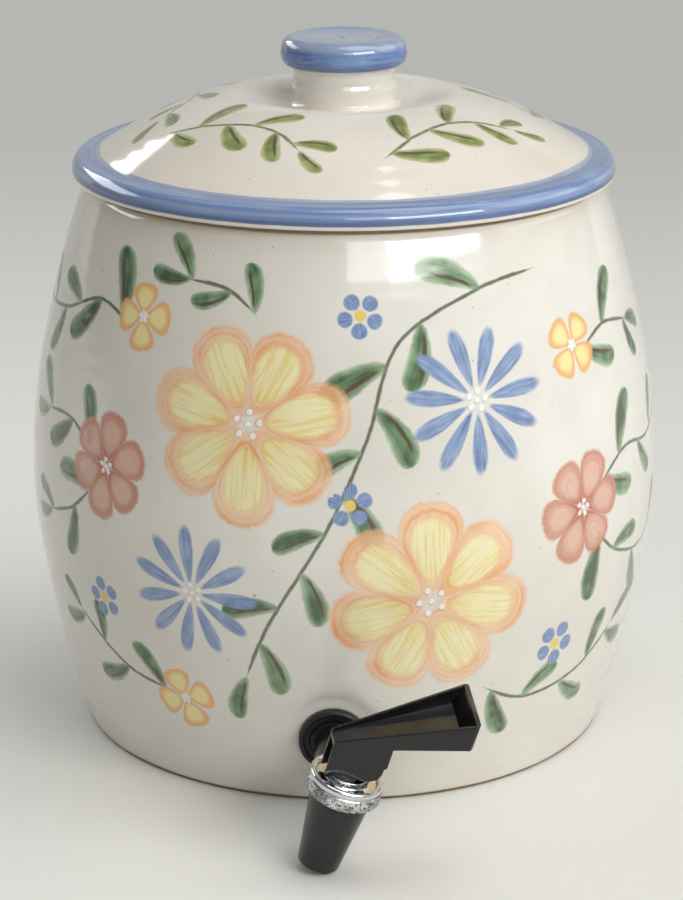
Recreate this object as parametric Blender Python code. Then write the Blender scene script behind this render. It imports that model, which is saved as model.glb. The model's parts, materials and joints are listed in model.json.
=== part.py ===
"""A lidded stoneware drink crock with a self-closing lever tap.

World frame: metres, +Z up, origin at the middle of the crock's flat base, tap towards -Y.
Tap frame: origin where the spout's axis crosses the shank's axis, +Z up the spout, +Y into the crock.
Lever frame: origin at the cross pin, +X along the arm, +Z up the stem, +Y along the pin.
"""

import math

import bmesh
import bpy
from mathutils import Matrix, Vector

MM = 0.001

# Clearance between neighbours and how far a cutter runs past what it cuts
GAP = 0.3 * MM
OVERRUN = 1.0 * MM

# Crock
CROCK_HEIGHT = 246.9 * MM
BELLY_RADIUS = 139.3 * MM
CROCK_WALL = 8.0 * MM
CROCK_FLOOR = 9.0 * MM
CROCK_CORNER = 12.0 * MM
FOOT_CHAMFER = 0.8 * MM
LIP_ROUND = 2.0 * MM
CROCK_OUTLINE_SHARES = (
    (0.0, 0.843),
    (0.07, 0.880),
    (0.162, 0.922),
    (0.284, 0.967),
    (0.41, 0.9965),
    (0.52, 0.9975),
    (0.648, 0.973),
    (0.77, 0.928),
    (0.891, 0.871),
    (1.0, 0.808),
)

# Flat pad and hole for the tap
HOLE_HEIGHT = 32.0 * MM
HOLE_SIDE = -4.4 * MM
HOLE_CLEARANCE = 0.8 * MM
PAD_DEPTH = 1.6 * MM
PAD_RADIUS = 18.0 * MM
PAD_WALL = 5.0 * MM
PAD_EDGE_SLOPE = math.radians(30.0)
SHANK_DROOP = math.radians(8.0)
TAP_ROLL = math.radians(16.0)

# Lid
LID_OVERHANG = 5.65 * MM
LID_HEIGHT = 58.5 * MM
LID_RIM_THICKNESS = 6.8 * MM
LID_RIM_EDGE = 1.2 * MM
LID_RIM_ROUND = 4.4 * MM
LID_RIM_SWEEP = math.radians(75.0)
LID_BAND_WIDTH = 12.0 * MM
LID_BAND_RISE = 3.2 * MM
LID_WALL = 6.5 * MM
LID_FLANGE_DEPTH = 8.0 * MM
LID_FLANGE_WALL = 5.5 * MM
LID_FLANGE_CLEARANCE = 2.0 * MM
DOME_RISE = 25.6 * MM
DOME_SHARES = (
    (1.0, 0.0),
    (0.894, 0.25),
    (0.753, 0.565),
    (0.611, 0.79),
    (0.47, 0.94),
    (0.4, 0.926),
    (0.345, 0.86),
    (0.3, 0.79),
)
KNOB_RADIUS = 27.3 * MM
KNOB_HEIGHT = 12.5 * MM
KNOB_ROUND = 3.4 * MM
KNOB_UNDER_ROUND = 2.2 * MM
KNOB_NECK_RADIUS = 22.0 * MM
KNOB_COLLAR_RADIUS = 23.4 * MM
KNOB_COLLAR_HEIGHT = 7.5 * MM
KNOB_NECK_FILLET = 5.0 * MM
KNOB_VALLEY_SLOPE = math.radians(15.0)
KNOB_VALLEY_DROP = 0.5 * MM
KNOB_DISH = 0.9 * MM

# Tap shank, its washers and its nut
SHANK_REACH = 60.2 * MM
SHANK_RADIUS = 8.0 * MM
SHANK_BORE_RADIUS = 5.0 * MM
SHANK_PROUD = 3.0 * MM
COLLAR_RADIUS = 9.4 * MM
COLLAR_THICKNESS = 1.7 * MM
WASHER_RADIUS = 14.5 * MM
WASHER_THICKNESS = 3.7 * MM
WASHER_DISH_DEPTH = 1.5 * MM
WASHER_LIP = 2.4 * MM
INNER_WASHER_RADIUS = 13.0 * MM
INNER_WASHER_THICKNESS = 2.4 * MM
NUT_FLATS = 25.4 * MM
NUT_THICKNESS = 8.0 * MM
NUT_CHAMFER = 1.2 * MM

# Spout and valve chamber
SPOUT_LENGTH = 21.6 * MM
SPOUT_TIP_RADIUS = 8.6 * MM
SPOUT_TIP_ROUND = 0.5 * MM
SPOUT_TIP_BORE_RADIUS = 6.8 * MM
BARREL_RADIUS = 12.65 * MM
BONNET_FOOT = 13.0 * MM
NECK_RADIUS = 12.4 * MM
NECK_HEIGHT = 3.0 * MM
CHAMBER_RADIUS = 9.4 * MM
CHAMBER_FLOOR_RADIUS = 8.4 * MM
SEAT_DEPTH = 7.0 * MM
SEAT_RADIUS = 5.4 * MM
SEAT_LIP = 0.8 * MM

# Chrome bonnet
BONNET_RADIUS = 15.4 * MM
BONNET_BAND_HEIGHT = 5.0 * MM
BONNET_GROOVE = 0.8 * MM
BONNET_RING_HEIGHT = 3.4 * MM
BONNET_CREST_WIDTH = 2.6 * MM
BONNET_EDGE = 0.4 * MM
BONNET_DISH_DEPTH = 2.0 * MM
BONNET_WALL = 1.4 * MM
BOSS_RADIUS = 8.4 * MM
BOSS_FLARE = 1.0 * MM
BOSS_HEIGHT = 2.8 * MM
BOSS_TOP_WALL = 1.7 * MM

# Stem, spring, seat cup and spring washer
STEM_RADIUS = 3.4 * MM
STEM_CLEARANCE = 0.35 * MM
STEM_COLLAR_RADIUS = 5.6 * MM
STEM_COLLAR_THICKNESS = 1.5 * MM
STEM_NECK_RADIUS = 2.2 * MM
STEM_NECK_LENGTH = 1.9 * MM
STEM_BUTTON_RADIUS = 3.5 * MM
STEM_BUTTON_THICKNESS = 1.6 * MM
STEM_HEAD_ROUND = 1.0 * MM
CUP_WALL = 0.9 * MM
CUP_RIM_RADIUS = 11.9 * MM
CUP_RIM_THICKNESS = 1.4 * MM
CUP_SLEEVE_RADIUS = 7.3 * MM
CUP_PLUG_DEPTH = 1.7 * MM
CUP_PLUG_CHAMFER = 1.9 * MM
SPRING_RADIUS = 4.75 * MM
SPRING_WIRE = 1.0 * MM
SPRING_TURNS = 7
SPRING_STEPS = 12
SPRING_WASHER_THICKNESS = 0.7 * MM
SPRING_WASHER_RADIUS = 6.2 * MM

# Lever, its cam and its cross pin
LEVER_SWIVEL = math.radians(7.6)
CAM_DEPTH = 7.7 * MM
CAM_LIFT = 2.0 * MM
LEVER_STROKE = math.radians(26.0)
CAM_STEPS = 7
CAM_HALF_WIDTH = 5.5 * MM
HUB_BACK = 10.6 * MM
HUB_FRONT = 10.6 * MM
HUB_HEEL = 7.3 * MM
HUB_HEEL_DROP = 1.1 * MM
HUB_FOOT_SLOPE = math.radians(9.0)
HUB_CORNER = 6.0 * MM
HUB_STEP = 1.0 * MM
HUB_STEP_HEIGHT = 1.6 * MM
ARM_REACH = 40.7 * MM
ARM_SLOPE = math.radians(25.7)
ARM_TOP = 12.9 * MM
ARM_ROOT_DEPTH = 7.2 * MM
ARM_TIP_DEPTH = 12.4 * MM
ARM_TIP_ROUND = 2.6 * MM
LEVER_BACK_WIDTH = 10.6 * MM
LEVER_TIP_WIDTH = 32.6 * MM
LEVER_WALL = 1.7 * MM
TRAY_DEPTH = 7.5 * MM
TRAY_FLOOR = 1.8 * MM
TRAY_END_SLANT = 3.0 * MM
LEVER_EDGE = 0.5 * MM
STEM_SIDE_GAP = 0.6 * MM
PIN_RADIUS = 1.5 * MM
PIN_BOSS_RADIUS = 3.2 * MM
PIN_SKIN = 1.3 * MM

# Sides of the round pieces
CROCK_SIDES = 48
LID_SIDES = 44
TAP_SIDES = 32
SMALL_SIDES = 24
ROUND_STEPS = 4
SMOOTH_ANGLE = math.radians(35.0)


# Drawing helpers


def smooth_line(points, steps):
    """Points of a Catmull-Rom curve through the given (x, y) points."""
    guides = [points[0], *points, points[-1]]
    line = []
    for before, start, end, after in zip(guides, guides[1:], guides[2:], guides[3:]):
        for step in range(steps):
            t = step / steps
            line.append(tuple(
                0.5 * (2 * b + (c - a) * t + (2 * a - 5 * b + 4 * c - d) * t**2 + (3 * b - a - 3 * c + d) * t**3)
                for a, b, c, d in zip(before, start, end, after)
            ))
    return [*line, points[-1]]


def arc(centre, radius, start, end, steps=ROUND_STEPS):
    """Points of an arc in the outline's plane, angles in degrees from the outward direction."""
    angles = [math.radians(start + (end - start) * step / steps) for step in range(steps + 1)]
    return [(centre[0] + radius * math.cos(a), centre[1] + radius * math.sin(a)) for a in angles]


def finish_mesh(mesh, bm):
    """Writes the bmesh with its faces turned outwards and its round faces smooth."""
    bmesh.ops.remove_doubles(bm, verts=bm.verts, dist=1e-7)
    bmesh.ops.recalc_face_normals(bm, faces=bm.faces)
    if bm.calc_volume(signed=True) < 0:
        bmesh.ops.reverse_faces(bm, faces=bm.faces)
    bm.to_mesh(mesh)
    bm.free()
    mesh.shade_smooth()
    mesh.set_sharp_from_angle(angle=SMOOTH_ANGLE)


def add_object(name, bm, parent=None):
    mesh = bpy.data.meshes.new(name)
    finish_mesh(mesh, bm)
    made = bpy.data.objects.new(name, mesh)
    bpy.context.collection.objects.link(made)
    made.parent = parent
    return made


def turned(name, outline, sides, parent=None, along="Z"):
    """A piece turned from its closed (radius, height) outline."""
    bm = bmesh.new()
    corners = [bm.verts.new((radius, 0.0, height)) for radius, height in outline]
    edges = [bm.edges.new(pair) for pair in zip(corners, corners[1:] + corners[:1])]
    bmesh.ops.spin(
        bm, geom=corners + edges, cent=(0, 0, 0), axis=(0, 0, 1), angle=math.tau, steps=sides, use_merge=True
    )
    if along == "Y":
        bmesh.ops.rotate(bm, verts=bm.verts, matrix=Matrix.Rotation(math.radians(-90), 3, "X"))
    bmesh.ops.dissolve_degenerate(bm, edges=bm.edges, dist=1e-7)
    return add_object(name, bm, parent)


def flared(name, outline, half_width, parent=None):
    """A side outline given its width on both sides, which changes along the arm."""
    bm = bmesh.new()
    left = [bm.verts.new((x, -half_width(x), z)) for x, z in outline]
    right = [bm.verts.new((x, half_width(x), z)) for x, z in outline]
    bm.faces.new(left)
    bm.faces.new(right[::-1])
    for near, far in zip(zip(left, left[1:] + left[:1]), zip(right, right[1:] + right[:1])):
        bm.faces.new((near[1], near[0], far[0], far[1]))
    return add_object(name, bm, parent)


def cylinder(name, radius, start, end, parent=None, along="Z", sides=TAP_SIDES):
    return turned(name, [(0, start), (radius, start), (radius, end), (0, end)], sides, parent, along)


def join(target, other, operation):
    """Unites with another shape, or cuts it away, and keeps the other as a hidden guide."""
    modifier = target.modifiers.new(other.name, "BOOLEAN")
    modifier.operation = operation
    modifier.solver = "EXACT"
    modifier.object = other
    other.hide_render = True
    other.display_type = "WIRE"


def paint(made, color, roughness, metallic=0.0):
    material = bpy.data.materials.new(made.name)
    material.use_nodes = True
    shader = material.node_tree.nodes["Principled BSDF"]
    shader.inputs["Base Color"].default_value = (*color, 1.0)
    shader.inputs["Roughness"].default_value = roughness
    shader.inputs["Metallic"].default_value = metallic
    made.data.materials.append(material)


# Crock


def crock_outline(steps=2):
    """The outside of the crock from its foot to its lip, as (radius, height)."""
    points = [(radius * BELLY_RADIUS, height * CROCK_HEIGHT) for height, radius in CROCK_OUTLINE_SHARES]
    return smooth_line(points, steps)


def crock_radius(height):
    """The outside radius of the crock at a height."""
    line = crock_outline(steps=8)
    for (low_radius, low), (high_radius, high) in zip(line, line[1:]):
        if low <= height <= high:
            return low_radius + (high_radius - low_radius) * (height - low) / (high - low)
    return line[-1][0]


def mouth_radius():
    return crock_radius(CROCK_HEIGHT) - CROCK_WALL


def crock_inside():
    """The inside of the crock from its lip to the middle of its floor."""
    wall = [(radius - CROCK_WALL, height) for radius, height in crock_outline(steps=1)]
    corner_top = CROCK_FLOOR + CROCK_CORNER
    upper = [point for point in wall if corner_top < point[1] < CROCK_HEIGHT - LIP_ROUND]
    side = crock_radius(corner_top) - CROCK_WALL
    corner = arc((side - CROCK_CORNER, corner_top), CROCK_CORNER, 0, -90)
    return [*upper[::-1], *corner, (0, CROCK_FLOOR)]


def make_crock(tap):
    """The thrown pot, with the flat pads and the hole that the tap is clamped in."""
    outside = crock_outline()
    foot = crock_radius(0)
    lip_outer = (crock_radius(CROCK_HEIGHT) - LIP_ROUND, CROCK_HEIGHT - LIP_ROUND)
    lip_inner = (mouth_radius() + LIP_ROUND, CROCK_HEIGHT - LIP_ROUND)
    outline = [
        (0, 0),
        (foot - FOOT_CHAMFER, 0),
        (foot, FOOT_CHAMFER),
        *[point for point in outside if FOOT_CHAMFER < point[1] < CROCK_HEIGHT - LIP_ROUND],
        *arc(lip_outer, LIP_ROUND, 0, 90, steps=2),
        *arc(lip_inner, LIP_ROUND, 90, 180, steps=2),
        *crock_inside(),
    ]
    crock = turned("crock", outline, CROCK_SIDES)
    pad = SHANK_REACH
    back = pad + PAD_WALL
    reach = CROCK_WALL + PAD_RADIUS
    wide = PAD_RADIUS + CROCK_WALL / math.tan(PAD_EDGE_SLOPE)
    flat = [(0, pad - CROCK_WALL), (wide, pad - CROCK_WALL), (PAD_RADIUS, pad), (0, pad)]
    join(crock, turned("pad_cutter", flat, TAP_SIDES, tap, "Y"), "DIFFERENCE")
    join(crock, cylinder("back_cutter", PAD_RADIUS, back, back + reach, tap, "Y"), "DIFFERENCE")
    hole = SHANK_RADIUS + HOLE_CLEARANCE
    join(crock, cylinder("hole_cutter", hole, pad - OVERRUN, back + OVERRUN, tap, "Y"), "DIFFERENCE")
    paint(crock, (0.76, 0.72, 0.64), 0.15)
    return crock


# Lid


def lid_seat():
    return CROCK_HEIGHT + GAP


def lid_radius():
    """The outside radius of the rim, which hangs over the crock's lip all round."""
    return crock_radius(CROCK_HEIGHT) + LID_OVERHANG


def dome_foot():
    """Where the dome rises from the rim's band, as (radius, height)."""
    return lid_radius() - LID_BAND_WIDTH, lid_seat() + LID_RIM_THICKNESS + LID_BAND_RISE


def dome_line(sink=0.0, steps=2):
    """The dome from the rim's band to the foot of the knob's neck, or its underside, sunk by the wall."""
    radius, foot = dome_foot()
    inner = radius - sink
    points = [(share * inner, foot - sink + rise * DOME_RISE) for share, rise in DOME_SHARES]
    return smooth_line(points, steps)


def knob_line():
    """The neck and the knob from the dome to the middle of the top."""
    top = lid_seat() + LID_HEIGHT
    under = top - KNOB_HEIGHT
    neck = KNOB_NECK_RADIUS
    collar = KNOB_COLLAR_RADIUS
    fillet = KNOB_NECK_FILLET
    foot = dome_line()[-1][1] - KNOB_VALLEY_DROP
    shoulder = foot + KNOB_COLLAR_HEIGHT
    lower_edge = KNOB_RADIUS - KNOB_UNDER_ROUND
    valley = -90 + math.degrees(KNOB_VALLEY_SLOPE)
    return [
        *arc((collar + fillet, foot + fillet), fillet, valley, -180, steps=3),
        (collar, shoulder),
        (neck, shoulder + (collar - neck) * 2),
        (neck, under - (lower_edge - neck)),
        *arc((lower_edge, under + KNOB_UNDER_ROUND), KNOB_UNDER_ROUND, -90, 0, steps=3),
        *arc((KNOB_RADIUS - KNOB_ROUND, top - KNOB_ROUND), KNOB_ROUND, 0, 90, steps=3),
        (KNOB_NECK_RADIUS * 0.8, top - KNOB_DISH / 2),
        (KNOB_NECK_RADIUS * 0.3, top - KNOB_DISH),
        (0, top - KNOB_DISH / 2),
    ]


def make_lid():
    """The thrown lid: rim, dome, knob and the flange that keeps it in the mouth."""
    seat = lid_seat()
    top = seat + LID_RIM_THICKNESS
    rim = lid_radius()
    sweep = math.degrees(LID_RIM_SWEEP)
    flange = mouth_radius() - LID_FLANGE_CLEARANCE
    flange_foot = seat - LID_FLANGE_DEPTH
    flange_inner = flange - LID_FLANGE_WALL
    hollow = [point for point in dome_line(LID_WALL, steps=1) if point[0] < flange_inner]
    outline = [
        (0, hollow[-1][1]),
        *hollow[::-1],
        (flange_inner, flange_foot + LIP_ROUND),
        (flange_inner + LIP_ROUND, flange_foot),
        (flange - LIP_ROUND, flange_foot),
        (flange, flange_foot + LIP_ROUND),
        (flange, seat),
        (rim - LID_RIM_EDGE, seat),
        (rim - LID_RIM_EDGE / 3, seat + LID_RIM_EDGE / 3),
        (rim, seat + LID_RIM_EDGE),
        *arc((rim - LID_RIM_ROUND, top - LID_RIM_ROUND), LID_RIM_ROUND, 0, sweep),
        *dome_line(),
        *knob_line(),
    ]
    lid = turned("lid", outline, LID_SIDES)
    paint(lid, (0.76, 0.72, 0.64), 0.15)
    return lid


# Tap frame


def make_tap_frame():
    """The empty that carries the tap: its shank meets the pad on the crock squarely."""
    turn = Matrix.Rotation(SHANK_DROOP, 4, "X") @ Matrix.Rotation(TAP_ROLL, 4, "Y")
    wall = math.sqrt(crock_radius(HOLE_HEIGHT) ** 2 - HOLE_SIDE**2)
    pad = Vector((HOLE_SIDE, PAD_DEPTH - wall, HOLE_HEIGHT))
    tap = bpy.data.objects.new("tap_frame", None)
    tap.matrix_world = Matrix.Translation(pad + turn @ Vector((0, -SHANK_REACH, 0))) @ turn
    bpy.context.collection.objects.link(tap)
    return tap


# Tap body, washers and nut


def washer_front():
    """How far the washer's front lip is from the spout's axis."""
    return SHANK_REACH - GAP - WASHER_THICKNESS


def inner_washer_front():
    return SHANK_REACH + PAD_WALL + GAP


def nut_front():
    return inner_washer_front() + INNER_WASHER_THICKNESS + GAP


def make_body(tap):
    """Spout, valve chamber and shank in one moulding."""
    tip = -SPOUT_LENGTH
    outer = [
        (0, tip),
        (SPOUT_TIP_RADIUS - SPOUT_TIP_ROUND, tip),
        (SPOUT_TIP_RADIUS, tip + SPOUT_TIP_ROUND),
        (BARREL_RADIUS, BONNET_FOOT - GAP),
        (NECK_RADIUS, BONNET_FOOT),
        (NECK_RADIUS, BONNET_FOOT + NECK_HEIGHT),
        (0, BONNET_FOOT + NECK_HEIGHT),
    ]
    bore = [
        (0, tip - OVERRUN),
        (SPOUT_TIP_BORE_RADIUS, tip - OVERRUN),
        (SEAT_RADIUS, -SEAT_DEPTH - SEAT_LIP),
        (SEAT_RADIUS + SEAT_LIP, -SEAT_DEPTH),
        (CHAMBER_FLOOR_RADIUS, -SEAT_DEPTH),
        (CHAMBER_RADIUS, BONNET_FOOT + NECK_HEIGHT + OVERRUN),
        (0, BONNET_FOOT + NECK_HEIGHT + OVERRUN),
    ]
    end = nut_front() + NUT_THICKNESS + SHANK_PROUD
    collar_back = washer_front() + WASHER_DISH_DEPTH - GAP
    body = turned("faucet_body", outer, TAP_SIDES, tap)
    join(body, cylinder("shank", SHANK_RADIUS, 0, end, tap, "Y"), "UNION")
    collar = cylinder("shank_collar", COLLAR_RADIUS, collar_back - COLLAR_THICKNESS, collar_back, tap, "Y")
    join(body, collar, "UNION")
    join(body, turned("chamber_cutter", bore, TAP_SIDES, tap), "DIFFERENCE")
    join(body, cylinder("shank_bore", SHANK_BORE_RADIUS, 0, end + OVERRUN, tap, "Y"), "DIFFERENCE")
    paint(body, (0.022, 0.022, 0.024), 0.28)
    return body


def make_outer_washer(tap):
    """Rubber washer with a raised lip round a dished face, clamped by the shank's collar."""
    front = washer_front()
    back = front + WASHER_THICKNESS
    dish = front + WASHER_DISH_DEPTH
    hole = SHANK_RADIUS + GAP
    outline = [
        (hole, dish),
        (hole, back),
        (WASHER_RADIUS, back),
        *arc((WASHER_RADIUS - WASHER_LIP / 2, front + WASHER_LIP / 2), WASHER_LIP / 2, 0, -180),
        (WASHER_RADIUS - WASHER_LIP, dish),
    ]
    washer = turned("outer_washer", outline, TAP_SIDES, tap, "Y")
    paint(washer, (0.02, 0.02, 0.021), 0.42)
    return washer


def make_inner_washer(tap):
    front = inner_washer_front()
    back = front + INNER_WASHER_THICKNESS
    hole = SHANK_RADIUS + GAP
    outline = [(hole, front), (INNER_WASHER_RADIUS, front), (INNER_WASHER_RADIUS, back), (hole, back)]
    washer = turned("inner_washer", outline, TAP_SIDES, tap, "Y")
    paint(washer, (0.02, 0.02, 0.021), 0.55)
    return washer


def make_lock_nut(tap):
    """Hexagonal nut that pulls the shank tight, its corners turned off at both ends."""
    front = nut_front()
    back = front + NUT_THICKNESS
    corner = NUT_FLATS / math.sqrt(3)
    nut = cylinder("lock_nut", corner, front, back, tap, "Y", sides=6)
    turned_off = [
        (0, front),
        (corner - NUT_CHAMFER, front),
        (corner + OVERRUN, front + NUT_CHAMFER),
        (corner + OVERRUN, back - NUT_CHAMFER),
        (corner - NUT_CHAMFER, back),
        (0, back),
    ]
    join(nut, turned("nut_chamfer", turned_off, SMALL_SIDES, tap, "Y"), "INTERSECT")
    hole = SHANK_RADIUS + GAP
    join(nut, cylinder("nut_cutter", hole, front - OVERRUN, back + OVERRUN, tap, "Y"), "DIFFERENCE")
    paint(nut, (0.025, 0.025, 0.027), 0.4)
    return nut


# Bonnet


def crest_height():
    return BONNET_FOOT + BONNET_BAND_HEIGHT + BONNET_RING_HEIGHT


def boss_top():
    """The raised face that the lever's cam rides on."""
    return crest_height() - BONNET_DISH_DEPTH + BOSS_HEIGHT


def cup_rim_top():
    return BONNET_FOOT + NECK_HEIGHT + GAP + CUP_RIM_THICKNESS


def make_bonnet(tap):
    """Cap nut: band, groove, rounded ring, and a dish round the boss that the stem comes out of."""
    band_top = BONNET_FOOT + BONNET_BAND_HEIGHT
    ring = BONNET_RADIUS - BONNET_EDGE
    groove = BONNET_RADIUS - BONNET_GROOVE
    crest = crest_height()
    dish = crest - BONNET_DISH_DEPTH
    ring_round = BONNET_CREST_WIDTH / 2
    under = cup_rim_top() + GAP
    hole = STEM_RADIUS + STEM_CLEARANCE
    boss_inner = BOSS_RADIUS - BONNET_WALL
    outline = [
        (NECK_RADIUS + GAP, under),
        (NECK_RADIUS + GAP, BONNET_FOOT),
        (BONNET_RADIUS - BONNET_EDGE, BONNET_FOOT),
        (BONNET_RADIUS, BONNET_FOOT + BONNET_EDGE),
        (BONNET_RADIUS, band_top - BONNET_EDGE),
        (groove, band_top),
        (groove, band_top + BONNET_EDGE),
        (ring, band_top + BONNET_GROOVE),
        *arc((ring - ring_round, crest - ring_round), ring_round, 0, 180),
        (ring - BONNET_CREST_WIDTH, dish + BONNET_EDGE),
        (ring - BONNET_CREST_WIDTH - BONNET_EDGE, dish),
        (BOSS_RADIUS + BOSS_FLARE, dish),
        (BOSS_RADIUS + BONNET_EDGE / 2, dish + BOSS_FLARE),
        (BOSS_RADIUS, boss_top() - BONNET_EDGE),
        (BOSS_RADIUS - BONNET_EDGE, boss_top()),
        (hole, boss_top()),
        (hole, boss_top() - BOSS_TOP_WALL),
        (boss_inner, boss_top() - BOSS_TOP_WALL),
        (boss_inner, under),
    ]
    bonnet = turned("bonnet", outline, TAP_SIDES, tap)
    paint(bonnet, (0.78, 0.79, 0.8), 0.12, 1.0)
    return bonnet


# Valve pieces inside the tap


def plug_top():
    """The top of the seat cup's plug, which the stem's collar presses on."""
    return -SEAT_DEPTH + GAP + CUP_PLUG_CHAMFER + CUP_PLUG_DEPTH + STEM_NECK_LENGTH


def stem_collar_foot():
    return plug_top() + GAP


def make_seat_cup(tap):
    """Silicone cup: a plug that closes the seat, a thin sleeve, and a rim clamped by the bonnet."""
    plug = plug_top()
    foot = -SEAT_DEPTH + GAP
    socket_top = plug - STEM_NECK_LENGTH + 2 * GAP
    socket_foot = stem_collar_foot() - STEM_NECK_LENGTH - STEM_BUTTON_THICKNESS - GAP
    sleeve = CUP_SLEEVE_RADIUS
    rim_top = cup_rim_top()
    rim_foot = rim_top - CUP_RIM_THICKNESS
    outline = [
        (0, foot - SEAT_LIP),
        (SEAT_RADIUS - GAP, foot - SEAT_LIP / 2),
        (sleeve, foot + CUP_PLUG_CHAMFER),
        (sleeve, rim_foot - CUP_WALL),
        (sleeve + CUP_WALL, rim_foot),
        (CUP_RIM_RADIUS, rim_foot),
        (CUP_RIM_RADIUS, rim_top),
        (sleeve, rim_top),
        (sleeve - CUP_WALL, rim_top - CUP_WALL),
        (sleeve - CUP_WALL, plug),
        (STEM_NECK_RADIUS + GAP, plug),
        (STEM_NECK_RADIUS + GAP, socket_top),
        (STEM_BUTTON_RADIUS + GAP, socket_top),
        (STEM_BUTTON_RADIUS + GAP, socket_foot),
        (0, socket_foot),
    ]
    cup = turned("seat_cup", outline, SMALL_SIDES, tap)
    paint(cup, (0.75, 0.74, 0.7), 0.5)
    return cup


def pin_height():
    """The cross pin's height above the tap's origin, with the cam just clear of the boss."""
    return boss_top() + GAP + CAM_DEPTH


def make_stem(tap):
    """Stem with a button snapped into the seat cup, a collar for the spring and an eye for the pin."""
    collar = stem_collar_foot()
    button = collar - STEM_NECK_LENGTH
    top = pin_height() + STEM_RADIUS
    outline = [
        (0, button - STEM_BUTTON_THICKNESS),
        (STEM_BUTTON_RADIUS, button - STEM_BUTTON_THICKNESS),
        (STEM_BUTTON_RADIUS, button),
        (STEM_NECK_RADIUS, button),
        (STEM_NECK_RADIUS, collar),
        (STEM_COLLAR_RADIUS, collar),
        (STEM_COLLAR_RADIUS, collar + STEM_COLLAR_THICKNESS),
        (STEM_RADIUS, collar + STEM_COLLAR_THICKNESS),
        *arc((STEM_RADIUS - STEM_HEAD_ROUND, top - STEM_HEAD_ROUND), STEM_HEAD_ROUND, 0, 90, steps=3),
        (0, top),
    ]
    stem = turned("stem", outline, SMALL_SIDES, tap)
    eye = cylinder("stem_eye", PIN_RADIUS + GAP, -BOSS_RADIUS, BOSS_RADIUS, tap, "Y", sides=SMALL_SIDES)
    eye.matrix_local = Matrix.Translation((0, 0, pin_height())) @ Matrix.Rotation(LEVER_SWIVEL, 4, "Z")
    join(stem, eye, "DIFFERENCE")
    paint(stem, (0.7, 0.7, 0.68), 0.4)
    return stem


def spring_span():
    """Where the spring's ends lie, at the middle of its wire."""
    foot = stem_collar_foot() + STEM_COLLAR_THICKNESS + GAP + SPRING_WIRE / 2
    top = boss_top() - BOSS_TOP_WALL - GAP - SPRING_WASHER_THICKNESS - GAP - SPRING_WIRE / 2
    return foot, top


def make_spring(tap):
    """Compression spring, one wire wound round the stem."""
    foot, top = spring_span()
    count = SPRING_TURNS * SPRING_STEPS
    curve = bpy.data.curves.new("spring", "CURVE")
    curve.dimensions = "3D"
    curve.bevel_depth = SPRING_WIRE / 2
    curve.bevel_resolution = 1
    curve.use_fill_caps = True
    line = curve.splines.new("POLY")
    line.points.add(count)
    for step, point in enumerate(line.points):
        angle = math.tau * step / SPRING_STEPS
        height = foot + (top - foot) * step / count
        point.co = (SPRING_RADIUS * math.cos(angle), SPRING_RADIUS * math.sin(angle), height, 1)
    spring = bpy.data.objects.new("spring", curve)
    bpy.context.collection.objects.link(spring)
    spring.parent = tap
    paint(spring, (0.55, 0.56, 0.57), 0.3, 1.0)
    print("Least gap between the spring's turns, mm:", round(((top - foot) / SPRING_TURNS - SPRING_WIRE) / MM, 2))
    return spring


def make_spring_washer(tap):
    top = boss_top() - BOSS_TOP_WALL - GAP
    foot = top - SPRING_WASHER_THICKNESS
    hole = STEM_RADIUS + STEM_CLEARANCE
    outline = [(hole, foot), (SPRING_WASHER_RADIUS, foot), (SPRING_WASHER_RADIUS, top), (hole, top)]
    washer = turned("spring_washer", outline, SMALL_SIDES, tap)
    paint(washer, (0.6, 0.61, 0.62), 0.3, 1.0)
    return washer


# Lever


def make_lever_frame(tap):
    """The empty on the cross pin's axis."""
    frame = bpy.data.objects.new("lever_frame", None)
    frame.parent = tap
    frame.matrix_local = Matrix.Translation((0, 0, pin_height())) @ Matrix.Rotation(LEVER_SWIVEL, 4, "Z")
    bpy.context.collection.objects.link(frame)
    return frame


def half_width(x):
    """Half of the lever's outside width, which flares evenly from its back to its tip."""
    share = (x + HUB_BACK) / (HUB_BACK + ARM_REACH)
    return (LEVER_BACK_WIDTH + (LEVER_TIP_WIDTH - LEVER_BACK_WIDTH) * share) / 2


def inner_half_width(x):
    return half_width(x) - LEVER_WALL


def arm_top(x):
    """The height of the side walls' straight top edge above the pin."""
    return ARM_TOP + x * math.tan(ARM_SLOPE)


def cam_line():
    """The cam's outline: each degree of the lever's stroke lifts the pin by the same amount.

    The cam's face that is square to the direction at an angle from straight down lies CAM_DEPTH plus
    the lift so far from the pin, and it touches the boss at the same distance in front of the stem.
    """
    rate = CAM_LIFT / LEVER_STROKE
    line = []
    for step in range(CAM_STEPS + 1):
        angle = LEVER_STROKE * step / CAM_STEPS
        depth = CAM_DEPTH + rate * angle
        x = depth * math.sin(angle) + rate * math.cos(angle)
        z = -depth * math.cos(angle) + rate * math.sin(angle)
        line.append((x, z))
    return line


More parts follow.
